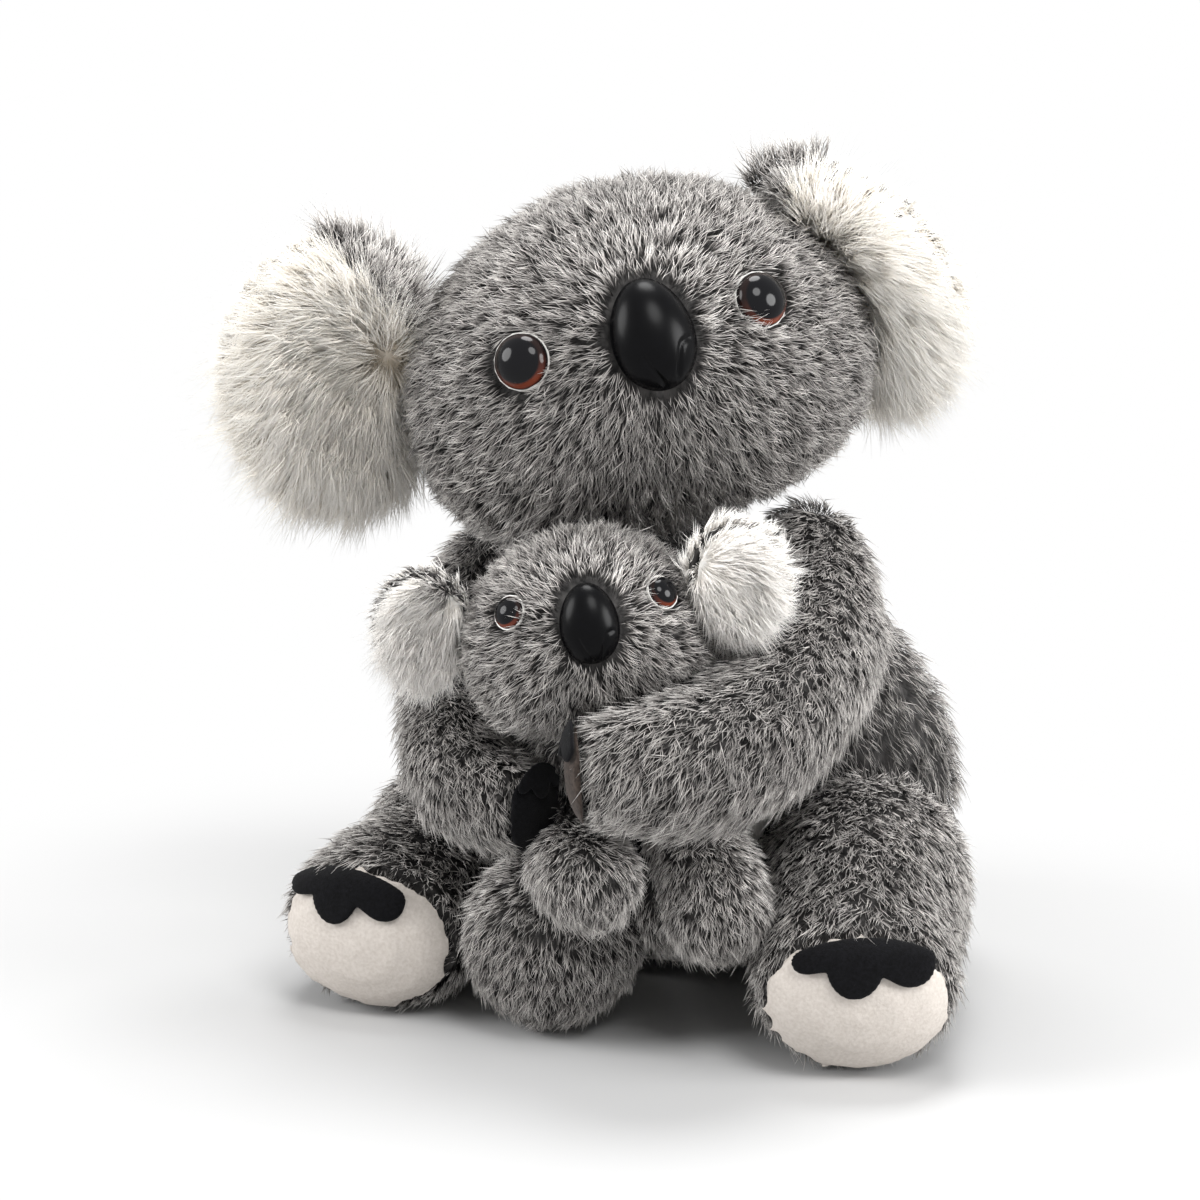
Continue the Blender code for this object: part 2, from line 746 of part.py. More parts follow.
def add_eye(prefix, head, form, across, height, radius, rise):
    place, outward = form.front_at(across, height)
    place = place - outward * radius * EYE_SINK_SHARE
    rim_radius = radius + RIM_OVERHANG
    washer_radius = STEM_RADIUS + WASHER_OVERHANG
    clear_of(head, seat_cutter(prefix + "_seat", head, place, outward, rim_radius, washer_radius))
    base = RIM_THICKNESS + CLEARANCE
    profile = [(0, base + rise)]
    for angle in EYE_DOME_ANGLES:
        profile.append((radius * math.cos(angle), base + rise * math.sin(angle)))
    profile.append((radius, base))
    profile.extend(stem_profile(base))
    dome = placed(prefix, turned(prefix, profile, ROUND_SEGMENTS), eye_plastic, head, place)
    bore = STEM_RADIUS + CLEARANCE
    rim_profile = ((bore, 0), (rim_radius, 0), (rim_radius, RIM_THICKNESS), (bore, RIM_THICKNESS))
    rim = placed(prefix + "_rim", turned_ring(prefix + "_rim", rim_profile, ROUND_SEGMENTS), rim_plastic,
                 head, place)
    washer = add_washer(prefix + "_washer", head, place)
    for piece in (dome, rim, washer):
        aim(piece, outward)


def add_washer(name, head, place):
    bore = STEM_RADIUS + CLEARANCE
    outer = STEM_RADIUS + WASHER_OVERHANG
    high = -CLOTH_THICKNESS - CLEARANCE
    low = high - WASHER_THICKNESS
    profile = ((bore, low), (outer, low), (outer, high), (bore, high))
    return placed(name, turned_ring(name, profile, WASHER_SEGMENTS), washer_plastic, head, place)


def nose_mesh(name, half_width, half_height, rise):
    # An egg, wider at its lower end, on a flat back with a stem.
    egg = [[Vector((0, 0, rise))]]
    for angle in NOSE_DOME_ANGLES:
        ring = []
        for i in range(ROUND_SEGMENTS):
            around = 2 * math.pi * i / ROUND_SEGMENTS
            taper = 1 - NOSE_TAPER_SHARE * math.sin(around)
            ring.append(Vector((half_width * taper * math.cos(angle) * math.cos(around),
                                half_height * math.cos(angle) * math.sin(around), rise * math.sin(angle))))
        egg.append(ring)
    egg.append([Vector((point.x * NOSE_BACK_SHARE, point.y * NOSE_BACK_SHARE, 0)) for point in egg[-1]])
    for radius, height in stem_profile(0):
        if radius == 0:
            egg.append([UP * height])
        else:
            egg.append(oval(UP * height, Vector((radius, 0, 0)), Vector((0, radius, 0)), ROUND_SEGMENTS))
    return skinned(name, egg)


def add_nose(prefix, head, form, across, height, half_width, half_height, rise):
    place, _ = form.front_at(across, height)
    place = place - FRONT * rise * NOSE_SINK_SHARE
    seat = grown_mesh(nose_mesh(prefix + "_seat", half_width, half_height, rise), CLEARANCE)
    bed = cutter_of(prefix + "_seat", seat, head, place)
    pocket = pocket_cutter(prefix + "_pocket", head, place)
    nose = placed(prefix, nose_mesh(prefix, half_width, half_height, rise), black_plastic, head, place)
    washer = add_washer(prefix + "_washer", head, place)
    for piece in (bed, pocket, nose, washer):
        aim(piece, FRONT)
    clear_of(head, bed, pocket)


def pocket_cutter(name, parent, place):
    bore = STEM_RADIUS + CLEARANCE
    pocket = STEM_RADIUS + WASHER_OVERHANG + CLEARANCE
    top = -CLOTH_THICKNESS
    bottom = -STEM_LENGTH - CLEARANCE
    profile = ((0, CLEARANCE), (bore, CLEARANCE), (bore, top), (pocket, top), (pocket, bottom), (0, bottom))
    return cutter_of(name, turned(name, profile, ROUND_SEGMENTS), parent, place)


def ear_level(share, depth):
    # Depth of the dish behind the rim, at a share of the way out from its middle.
    return depth * math.sqrt(max(0, 1 - share ** 2))


def ear_meshes(name, half_width, half_height, depth, wall):
    # The cupped back and the thick pile that fills it, both in the frame whose -Y is the ear's front.
    def ring(share, level):
        return oval(Vector((0, level, 0)), Vector((half_width * share, 0, 0)),
                    Vector((0, 0, half_height * share)), EAR_SEGMENTS)

    inside_share = 1 - wall / half_width
    back = [[Vector((0, depth, 0))]]
    for share in EAR_BACK_RING_SHARES:
        back.append(ring(share, ear_level(share, depth)))
    back.append(ring(1, 0))
    back.append(ring(inside_share, 0))
    for share in reversed(EAR_HOLLOW_RING_SHARES):
        back.append(ring(share * inside_share, ear_level(share, depth - wall)))
    back.append([Vector((0, depth - wall, 0))])
    fill = [[Vector((0, depth - wall - CLEARANCE, 0))]]
    room = inside_share - CLEARANCE / half_width * 2
    for share in EAR_HOLLOW_RING_SHARES:
        fill.append(ring(share * room, ear_level(share, depth - wall) - 2 * CLEARANCE))
    fill.append(ring(room, -CLEARANCE))
    for share, forward in EAR_FRONT_RING_SHARES:
        fill.append(ring(share, -depth * forward))
    fill.append([Vector((0, -depth * EAR_FRONT_MIDDLE_SHARE, 0))])
    return skinned(name + "_back", back), skinned(name + "_pile", fill)


def add_ear(prefix, head, sign, size, root, spread, turn, droop, hinge_share, fold):
    # size is half width, half height, depth and wall; root is the hinge's place in the head's frame.
    half_width, half_height, depth, wall = size
    joint = joint_point(prefix + "_joint", root, head)
    back, pile = ear_meshes(prefix, half_width, half_height, depth, wall)
    offset = Vector((sign * half_width * spread, depth * hinge_share, 0))
    pose = Matrix.Rotation(turn, 4, "Z") @ Matrix.Translation(offset) @ Matrix.Rotation(droop, 4, "X")
    head_rooms = rooms(head, joint, (0, -fold / 2, -fold))
    for mesh, finish in ((back, tipped_fur), (pile, cream_pile)):
        mesh.transform(pose)
        piece = placed(mesh.name, mesh, finish, joint)
        clear_of(piece, *head_rooms)


def floor_cutter():
    mesh = bpy.data.meshes.new("floor_cutter")
    bm = bmesh.new()
    bmesh.ops.create_cube(bm, size=1)
    reach = 2 * (TORSO_HALF_WIDTH + LEG_REACH + LEG_RADIUS)
    for vert in bm.verts:
        vert.co = Vector((vert.co.x * 2 * reach, vert.co.y * 2 * reach, (vert.co.z - 0.5) * OVERRUN))
    bm.to_mesh(mesh)
    bm.free()
    return cutter_of("floor_cutter", mesh, None)


def add_limb(name, pivot, path, segments, pad_angle=None):
    # The limb's own frame starts at its pivot, on its joint's axis.
    joint = joint_point(name + "_joint", pivot)
    limb = Limb(path, segments, pad_angle)
    piece = placed(name, skinned(name, limb.rings()), tipped_fur, joint)
    return joint, limb, piece


def add_pad(name, joint, limb, finish):
    return placed(name, skinned(name, limb.pad_rings()), finish, joint)


def add_claws(name, joint, limb, half_width, back, front, aside, level):
    # A band across the top of the pad that sags towards its ends.
    outline = lobed_outline(half_width, back, front, CLAW_SEGMENTS)

    def surface(across, along, offset):
        sag = CLAW_SAG_SHARE * (across / half_width) ** 2
        return limb.face_point(aside + across, level - sag - along, offset)

    mesh = patch_mesh(name, surface, outline, CLAW_RINGS, 2 * CLEARANCE, 2 * CLEARANCE + FELT_THICKNESS)
    return placed(name, mesh, black_felt, joint)


def arm_path(shares, reach):
    path = [(Vector((0, 0, 0)), SHOULDER_RADIUS, SHOULDER_RADIUS)]
    return path + limb_path(shares, reach, ARM_RADIUS)


def limb_path(shares, reach, radius):
    return [(Vector((x, y, z)) * reach, radius * size, radius * size) for x, y, z, size in shares]


def leg_path(shares):
    # The leg lies along the floor, so each ring's height above the hip's level comes from its size.
    path = [(Vector((0, 0, 0)), HIP_RADIUS, HIP_RADIUS)]
    for x, y, width, height in shares:
        level = LEG_RADIUS * height - FLAT_DEPTH - HIP_HEIGHT
        path.append((Vector((x * LEG_REACH, y * LEG_REACH, level)), LEG_RADIUS * width, LEG_RADIUS * height))
    return path


def main():
    clear_scene()
    floor = floor_cutter()
    torso = placed("mother_body", torso_mesh(), tipped_fur)
    torso_room = rooms(torso)[0]
    belly_sheet = belly_mesh("mother_belly_panel", CLEARANCE, PILE_THICKNESS)
    belly = placed("mother_belly_panel", belly_sheet, white_pile)
    clear_of(belly, torso_room)
    belly_space = belly_mesh("belly_room", -PILE_THICKNESS, PILE_THICKNESS + CLEARANCE)
    belly_room = cutter_of("belly_room", belly_space, None)
    add_mother_head()
    left_shoulder = (LEFT_SHOULDER_HEIGHT_SHARE, LEFT_SHOULDER_SHARE)
    right_shoulder = (RIGHT_SHOULDER_HEIGHT_SHARE, RIGHT_SHOULDER_SHARE)
    arms = [add_arm("left", 1, LEFT_ARM_SHARES, LEFT_ARM_REACH, left_shoulder, brown_suede),
            add_arm("right", -1, RIGHT_ARM_SHARES, RIGHT_ARM_REACH, right_shoulder, black_felt)]
    legs = [add_leg("left", 1, LEFT_LEG_SHARES), add_leg("right", -1, RIGHT_LEG_SHARES)]
    neck = Vector((BABY_NECK_SIDE, -BABY_NECK_FORWARD, TORSO_HEIGHT * BABY_NECK_HEIGHT_SHARE))
    baby_body = placed("baby_body", baby_body_mesh(), tipped_fur, None, neck)
    baby_head_rooms = add_baby_head(neck)
    limbs = [add_limb(*limb, BABY_SEGMENTS) for limb in baby_limb_paths(neck)]

    for sign, (joint, arm, pad, claws) in zip((1, -1), arms):
        seat_in(torso, arm, SHOULDER_RADIUS, LIMB_SEGMENTS, joint, sign * ARM_SWING)
        for piece in (arm, pad, claws):
            clear_of(piece, *baby_head_rooms)
    for sign, (joint, leg, sole, claws) in zip((1, -1), legs):
        clear_of(leg, floor)
        clear_of(sole, floor)
        seat_in(torso, leg, HIP_RADIUS, LEG_SEGMENTS, joint, sign * LEG_SWING)
        clear_of(belly, *rooms(leg))
    clear_of(torso, floor)
    trim_baby(floor, torso_room, belly_room, arms, legs, baby_body, limbs)


def add_mother_head():
    joint = joint_point("mother_head_joint", neck_place())
    form = Head(HEAD_HALF_WIDTH, HEAD_HALF_DEPTH, HEAD_HALF_HEIGHT, CHEEK_SHARE)
    rise = NECK_RADIUS - NECK_SINK + HEAD_HALF_HEIGHT
    head = head_object("mother_head", form.mesh("mother_head", HEAD_SEGMENTS, HEAD_RINGS), joint,
                       (HEAD_SIDE, -HEAD_FORWARD, rise), HEAD_TURN, HEAD_LIFT, HEAD_ROLL)
    clear_of(head, ball_cutter("neck_socket", NECK_RADIUS, TORSO_SEGMENTS, joint))
    for side, share, level in (("left", LEFT_EYE_SHARE, LEFT_EYE_LEVEL_SHARE),
                               ("right", -RIGHT_EYE_SHARE, RIGHT_EYE_LEVEL_SHARE)):
        add_eye(f"mother_{side}_eye", head, form, HEAD_HALF_WIDTH * share, HEAD_HALF_HEIGHT * level,
                EYE_RADIUS, EYE_RISE)
    across, height = HEAD_HALF_WIDTH * NOSE_SIDE_SHARE, HEAD_HALF_HEIGHT * NOSE_LEVEL_SHARE
    add_nose("mother_nose", head, form, across, height, NOSE_HALF_WIDTH, NOSE_HALF_HEIGHT, NOSE_RISE)
    size = (EAR_HALF_WIDTH, EAR_HALF_HEIGHT, EAR_DEPTH, EAR_WALL)
    for side, sign, share, level, spread, turn in (
            ("left", 1, LEFT_EAR_SHARE, LEFT_EAR_LEVEL_SHARE, LEFT_EAR_SPREAD_SHARE, LEFT_EAR_TURN),
            ("right", -1, RIGHT_EAR_SHARE, RIGHT_EAR_LEVEL_SHARE, RIGHT_EAR_SPREAD_SHARE, RIGHT_EAR_TURN)):
        root = Vector((sign * HEAD_HALF_WIDTH * share, HEAD_HALF_DEPTH * EAR_BACK_SHARE,
                       HEAD_HALF_HEIGHT * level))
        add_ear(f"mother_{side}_ear", head, sign, size, root, spread, turn, EAR_DROOP, EAR_HINGE_SHARE,
                sign * EAR_FOLD)


def add_baby_head(neck):
    # The head with its face and ears; it gives back the room that it turns in.
    joint = joint_point("baby_head_joint", neck)
    form = Head(BABY_HEAD_HALF_WIDTH, BABY_HEAD_HALF_DEPTH, BABY_HEAD_HALF_HEIGHT, CHEEK_SHARE)
    rise = BABY_NECK_RADIUS - BABY_NECK_SINK + BABY_HEAD_HALF_HEIGHT
    head = head_object("baby_head", form.mesh("baby_head", BABY_HEAD_SEGMENTS, BABY_HEAD_RINGS), joint,
                       (0, -BABY_HEAD_FORWARD, rise), BABY_HEAD_TURN, BABY_HEAD_LIFT, BABY_HEAD_ROLL)
    clear_of(head, ball_cutter("baby_neck_socket", BABY_NECK_RADIUS, BABY_HEAD_SEGMENTS, joint))
    size = (BABY_EAR_HALF_WIDTH, BABY_EAR_HALF_HEIGHT, BABY_EAR_DEPTH, BABY_EAR_WALL)
    for side, sign, spread, forward, level in (
            ("left", 1, BABY_LEFT_EAR_SPREAD_SHARE, BABY_LEFT_EAR_FORWARD_SHARE, BABY_LEFT_EAR_LEVEL_SHARE),
            ("right", -1, BABY_RIGHT_EAR_SPREAD_SHARE, 0, BABY_RIGHT_EAR_LEVEL_SHARE)):
        add_eye(f"baby_{side}_eye", head, form, sign * BABY_HEAD_HALF_WIDTH * BABY_EYE_SHARE,
                BABY_HEAD_HALF_HEIGHT * BABY_EYE_LEVEL_SHARE, BABY_EYE_RADIUS, BABY_EYE_RISE)
        root = Vector((sign * BABY_HEAD_HALF_WIDTH * BABY_EAR_SHARE, -BABY_HEAD_HALF_DEPTH * forward,
                       BABY_HEAD_HALF_HEIGHT * level))
        add_ear(f"baby_{side}_ear", head, sign, size, root, spread, 0, BABY_EAR_DROOP, 0, -sign * EAR_FOLD)
    height = BABY_HEAD_HALF_HEIGHT * BABY_NOSE_LEVEL_SHARE
    add_nose("baby_nose", head, form, 0, height, BABY_NOSE_HALF_WIDTH, BABY_NOSE_HALF_HEIGHT, BABY_NOSE_RISE)
    return rooms(head, joint, (-BABY_HEAD_TURN_RANGE, 0, BABY_HEAD_TURN_RANGE))


def add_arm(side, sign, shares, reach, shoulder, palm_finish):
    height_share, width_share = shoulder
    middle, width, _ = torso_ring_at(TORSO_HEIGHT * height_share)
    pivot = middle + Vector((sign * width_share * width, 0, 0))
    path = arm_path(shares, reach)
    joint, limb, arm = add_limb(f"mother_{side}_arm", pivot, path, LIMB_SEGMENTS, PALM_ANGLE)
    pad = add_pad(f"mother_{side}_palm", joint, limb, palm_finish)
    claws = add_claws(f"mother_{side}_hand_claws", joint, limb, HAND_CLAWS_WIDTH_SHARE,
                      HAND_CLAWS_BACK_SHARE, HAND_CLAWS_FRONT_SHARE, 0, HAND_CLAWS_LEVEL_SHARE)
    return joint, arm, pad, claws


def add_leg(side, sign, shares):
    middle, width, _ = torso_ring_at(HIP_HEIGHT)
    pivot = middle + Vector((sign * width * HIP_SHARE, -TORSO_HALF_DEPTH * HIP_FORWARD_SHARE, 0))
    joint, limb, leg = add_limb(f"mother_{side}_leg", pivot, leg_path(shares), LEG_SEGMENTS, SOLE_ANGLE)
    sole = add_pad(f"mother_{side}_sole", joint, limb, white_pile)
    half_width, aside = TOES_SHARES[side]
    claws = add_claws(f"mother_{side}_toe_claws", joint, limb, half_width, TOES_BACK_SHARE,
                      TOES_FRONT_SHARE, aside, TOES_LEVEL_SHARE)
    return joint, leg, sole, claws


def baby_body_mesh():
    # A small stuffed body below its neck, in the neck's frame; the top follows the neck's ball.
    rings = [[DOWN * BABY_BODY_LENGTH + Vector((0, BABY_BODY_RADIUS, 0))]]
    for drop, size, back in BABY_BODY_RING_SHARES:
        middle = DOWN * BABY_BODY_LENGTH * drop + Vector((0, BABY_BODY_RADIUS * back, 0))
        rings.append(flat_ring(middle, BABY_BODY_RADIUS * size, LIMB_SEGMENTS))
    rings.extend(dome_rings(Vector((0, 0, 0)), BABY_NECK_RADIUS, BABY_NECK_DOME_ANGLES, LIMB_SEGMENTS))
    return skinned("baby_body", rings)


def baby_limb_paths(neck):
    # Each limb's name, pivot and path, in the order in which they make room for each other.
    limbs = []
    for name, (pivot, shares) in BABY_ARM_SHARES.items():
        path = limb_path(shares, BABY_ARM_REACH, BABY_ARM_RADIUS)
        limbs.append((name, neck + Vector(pivot) * BABY_ARM_RADIUS, path))
    pivot, shares = BABY_LEFT_LEG_SHARES
    path = limb_path(shares, BABY_LEG_REACH, BABY_LEG_RADIUS)
    limbs.append(("baby_left_leg", neck + Vector(pivot) * BABY_LEG_RADIUS, path))
    drop = BABY_BODY_LENGTH * BABY_RIGHT_HIP_DROP_SHARE
    hip = neck + Vector((*BABY_RIGHT_HIP_SHARES, 0)) * BABY_LEG_RADIUS + DOWN * drop
    hip_radius = BABY_LEG_RADIUS * BABY_RIGHT_HIP_RADIUS_SHARE
    path = [(Vector((0, 0, 0)), hip_radius, hip_radius)]
    for x, y, lift in BABY_RIGHT_LEG_SHARES:
        level = (BABY_LEG_RADIUS - FLAT_DEPTH) * lift - hip.z
        place = Vector((x * BABY_LEG_REACH, y * BABY_LEG_REACH, level))
        path.append((place, BABY_LEG_RADIUS, BABY_LEG_RADIUS))
    limbs.append(("baby_right_leg", hip, path))
    return limbs


def trim_baby(floor, torso_room, belly_room, arms, legs, baby_body, limbs):
    # The young one's pieces make room for the mother's, and each limb for the ones after it.
    still_rooms = [torso_room, belly_room]
    for _, *parts in legs:
        for part in parts:
            still_rooms.extend(rooms(part))
    held = [part for _, *parts in arms for part in parts]
    held_rooms = [rooms(part)[0] for part in held]
    clear_of(baby_body, *still_rooms, *held_rooms)
    pieces = [piece for _, _, piece in limbs]
    for i, (joint, limb, piece) in enumerate(limbs):
        clear_of(piece, floor, *still_rooms)
        swing = BABY_ARM_SWINGS.get(piece.name)
        if swing:
            seat_in(baby_body, piece, limb.rows[0][3], BABY_SEGMENTS, joint, swing)
            for other in held + pieces[i + 1:]:
                clear_of(piece, *rooms(other, joint, (0, -swing)))
        else:
            clear_of(piece, *held_rooms, *rooms(baby_body))
            for other in pieces[i + 1:]:
                clear_of(piece, *rooms(other))


main()
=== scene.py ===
import json
import math
import bpy
import numpy as np
from mathutils import Matrix, Vector
from mathutils.bvhtree import BVHTree
from mathutils.kdtree import KDTree


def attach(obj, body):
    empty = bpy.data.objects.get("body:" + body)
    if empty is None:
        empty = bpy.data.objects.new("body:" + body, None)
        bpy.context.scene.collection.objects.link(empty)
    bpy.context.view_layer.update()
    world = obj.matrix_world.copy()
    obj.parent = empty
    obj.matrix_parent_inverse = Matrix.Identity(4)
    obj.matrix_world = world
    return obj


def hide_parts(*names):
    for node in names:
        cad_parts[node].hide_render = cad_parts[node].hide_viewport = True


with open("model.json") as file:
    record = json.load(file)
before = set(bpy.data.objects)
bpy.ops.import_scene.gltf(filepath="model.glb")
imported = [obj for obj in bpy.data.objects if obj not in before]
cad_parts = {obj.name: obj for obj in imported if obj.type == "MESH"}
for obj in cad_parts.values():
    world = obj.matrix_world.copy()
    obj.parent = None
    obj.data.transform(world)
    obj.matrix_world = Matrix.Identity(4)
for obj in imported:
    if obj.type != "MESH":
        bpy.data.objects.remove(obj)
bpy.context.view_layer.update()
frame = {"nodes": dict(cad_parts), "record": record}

# Plush mother koala hugging her young one: skins stuffed by simulation, with combed mesh fur on them.
down = np.array((0.0, 0.0, -1.0))

# Camera first, at the photograph's angle
view = {
    "azimuth": math.radians(16),
    "elevation": math.radians(16),
    "distance": 1.7,
    "target": Vector((-0.034, 0.0224, 0.1079)),
    "lens": 150,
    "sensor": 36,
}
turnWay = view["azimuth"]
liftWay = view["elevation"]
rightWay = Vector((math.cos(turnWay), math.sin(turnWay), 0))
backWay = Vector((math.sin(turnWay) * math.cos(liftWay), -math.cos(turnWay) * math.cos(liftWay),
                  math.sin(liftWay)))
upWay = backWay.cross(rightWay)
cameraData = bpy.data.cameras.new("photoCamera")
cameraData.lens = view["lens"]
cameraData.sensor_width = view["sensor"]
camera = bpy.data.objects.new("photoCamera", cameraData)
bpy.context.scene.collection.objects.link(camera)
camera.matrix_world = Matrix.Translation(view["target"] + backWay * view["distance"]) @ Matrix(
    (rightWay, upWay, backWay)).transposed().to_4x4()
bpy.context.scene.camera = camera
bpy.context.scene.view_settings.view_transform = "Standard"
print("camera placed")


class Wire:
    # A shader socket that can be added to and multiplied like a number.
    def __init__(self, tree, socket=None):
        self.tree = tree
        self.socket = socket

    def node(self, kind, settings=None, sockets=None, output=0):
        made = self.tree.nodes.new(kind)
        for key, value in (settings or {}).items():
            if key == "stops":
                fillRamp(made.color_ramp, value)
            else:
                setattr(made, key, value)
        for key, value in (sockets or {}).items():
            self.feed(made.inputs[key], value)
        return Wire(self.tree, made.outputs[output])

    def feed(self, socket, value):
        if isinstance(value, Wire):
            self.tree.links.new(value.socket, socket)
        else:
            socket.default_value = value

    def other(self, output):
        return Wire(self.tree, self.socket.node.outputs[output])

    def maths(self, operation, *values):
        return self.node("ShaderNodeMath", {"operation": operation}, dict(enumerate(values)))

    def __add__(self, other):
        return self.maths("ADD", self, other)

    def __mul__(self, other):
        return self.maths("MULTIPLY", self, other)

    def ramp(self, stops):
        return self.node("ShaderNodeValToRGB", {"stops": stops}, {0: self})

    def mixed(self, first, second):
        return self.node("ShaderNodeMix", {"data_type": "RGBA"}, {0: self, 6: first, 7: second}, 2)

    def scaled(self, share):
        return self.node("ShaderNodeVectorMath", {"operation": "SCALE"}, {0: self, "Scale": share})

    def place(self):
        return self.node("ShaderNodeTexCoord", output=3)

    def noise(self, scale, detail=3, stretch=(1, 1, 1)):
        spot = self.node("ShaderNodeMapping", sockets={0: self.place(), "Scale": stretch})
        return self.node("ShaderNodeTexNoise", sockets={"Vector": spot, "Scale": scale, "Detail": detail})

    def bump(self, height, strength, distance):
        heights = {"Height": height, "Strength": strength, "Distance": distance}
        return self.node("ShaderNodeBump", sockets=heights)


def fillRamp(ramp, stops):
    ramp.elements[0].position, ramp.elements[1].position = stops[0][0], stops[-1][0]
    ramp.elements[0].color, ramp.elements[1].color = painted(stops[0][1]), painted(stops[-1][1])
    for place, colour in stops[1:-1]:
        ramp.elements.new(place).color = painted(colour)


def painted(colour):
    # Linear colour from the 0 to 255 values that a colour picker shows.
    shares = [value / 255 for value in colour]
    return (*[s / 12.92 if s <= 0.04045 else ((s + 0.055) / 1.055) ** 2.4 for s in shares], 1)


def makeMaterial(name, constants):
    material = bpy.data.materials.new(name)
    material.use_nodes = True
    shader = material.node_tree.nodes["Principled BSDF"]
    for key, value in constants.items():
        shader.inputs[key].default_value = value
    return material, shader, Wire(material.node_tree)


def furMaterial(coat):
    # Along a strand from root to tip; each strand has its own tone.
    constants = {"Roughness": coat["roughness"], "Specular IOR Level": 0.25}
    material, shader, wire = makeMaterial(coat["name"], constants)
    spot = wire.node("ShaderNodeUVMap", {"uv_map": "OFBake"})
    tone = wire.node("ShaderNodeSeparateXYZ", sockets={0: spot})
    colour = tone.other(1).ramp(coat["stops"]).scaled(tone * coat["toneSpan"] + coat["toneLow"])
    wire.feed(shader.inputs["Base Color"], colour)
    return material


def clothMaterial(cloth, corner=None):
    # The woven backing under the fur, mottled by the strands' roots; past a corner's plane it is grey.
    material, shader, wire = makeMaterial(cloth["name"], {"Roughness": 0.95, "Specular IOR Level": 0.2})
    grain = wire.noise(cloth["grain"], 4, cloth["stretch"])
    colour = grain.ramp(cloth["stops"])
    if corner:
        sockets = {0: wire.place(), 1: corner["way"]}
        reach = wire.node("ShaderNodeVectorMath", {"operation": "DOT_PRODUCT"}, sockets, 1)
        past = wire.maths("GREATER_THAN", reach, corner["place"].dot(corner["way"]))
        colour = past.mixed(colour, grain.ramp(greyCloth["stops"]))
    wire.feed(shader.inputs["Base Color"], colour)
    wire.feed(shader.inputs["Normal"], wire.bump(grain, 0.6, cloth["depth"]))
    return material


greyCoat = {
    "name": "tippedFur",
    "roughness": 0.7,
    "stops": ((0, (32, 31, 31)), (0.30, (81, 79, 78)), (0.52, (143, 139, 136)), (0.76, (207, 203, 199)),
              (1, (239, 236, 232))),
    "toneLow": 0.46,
    "toneSpan": 1.05,
}
creamCoat = {
    "name": "creamFur",
    "roughness": 0.8,
    "stops": ((0, (238, 227, 208)), (0.35, (250, 244, 234)), (1, (255, 253, 249))),
    "toneLow": 0.93,
    "toneSpan": 0.12,
}
whiteCoat = {
    "name": "whiteFur",
    "roughness": 0.8,
    "stops": ((0, (242, 236, 226)), (0.4, (251, 247, 242)), (1, (255, 253, 250))),
    "toneLow": 0.92,
    "toneSpan": 0.14,
}
greyCloth = {
    "name": "greyBacking",
    "grain": 420,
    "stretch": (1, 1, 0.35),
    "stops": ((0.3, (30, 30, 30)), (0.7, (84, 82, 81))),
    "depth": 0.0008,
}
creamCloth = {
    "name": "creamBacking",
    "grain": 380,
    "stretch": (1, 1, 0.3),
    "stops": ((0.3, (232, 218, 196)), (0.7, (248, 240, 227))),
    "depth": 0.0006,
}
soleCloth = {
    "name": "solePlush",
    "grain": 900,
    "stretch": (1, 1, 1),
    "stops": ((0.3, (193, 185, 177)), (0.7, (208, 201, 194))),
    "depth": 0.0003,
}
whiteCloth = {
    "name": "whiteBacking",
    "grain": 520,
    "stretch": (1, 1, 1),
    "stops": ((0.3, (234, 231, 226)), (0.7, (245, 244, 241))),
    "depth": 0.0003,
}
furOf = {"grey": furMaterial(greyCoat), "cream": furMaterial(creamCoat), "white": furMaterial(whiteCoat)}
clothFor = {"grey": greyCloth, "cream": creamCloth, "white": whiteCloth, "sole": soleCloth}


def only(piece):
    bpy.ops.object.select_all(action="DESELECT")
    piece.select_set(True)
    bpy.context.view_layer.objects.active = piece


def applyAll(piece):
    only(piece)
    for modifier in list(piece.modifiers):
        bpy.ops.object.modifier_apply(modifier=modifier.name)


def copyOfNode(name, node):
    # A merged copy of a CAD node's mesh, as a new piece.
    mesh = frame["nodes"][node].data.copy()
    mesh.materials.clear()
    piece = bpy.data.objects.new(name, mesh)
    bpy.context.scene.collection.objects.link(piece)
    only(piece)
    bpy.ops.object.mode_set(mode="EDIT")
    bpy.ops.mesh.select_all(action="SELECT")
    bpy.ops.mesh.remove_doubles(threshold=0.00001)
    bpy.ops.object.mode_set(mode="OBJECT")
    return piece


def placesOf(mesh):
    places = np.empty(len(mesh.vertices) * 3, np.float32)
    mesh.vertices.foreach_get("co", places)
    return places.reshape(-1, 3).astype(float)


def normalsOf(mesh):
    normals = np.empty(len(mesh.vertices) * 3, np.float32)
    mesh.vertex_normals.foreach_get("vector", normals)
    return normals.reshape(-1, 3).astype(float)


def movePlaces(mesh, places):
    mesh.vertices.foreach_set("co", places.astype(np.float32).ravel())
    mesh.update()


def unit(ways):
    return ways / np.maximum(np.linalg.norm(ways, axis=-1, keepdims=True), 1e-9)


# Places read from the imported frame
jointPlace = {joint["name"]: np.array(joint["pos_m"]) for joint in frame["record"]["behaviour"]["joints"]}


def centreOf(node):
    return placesOf(frame["nodes"][node].data).mean(axis=0)


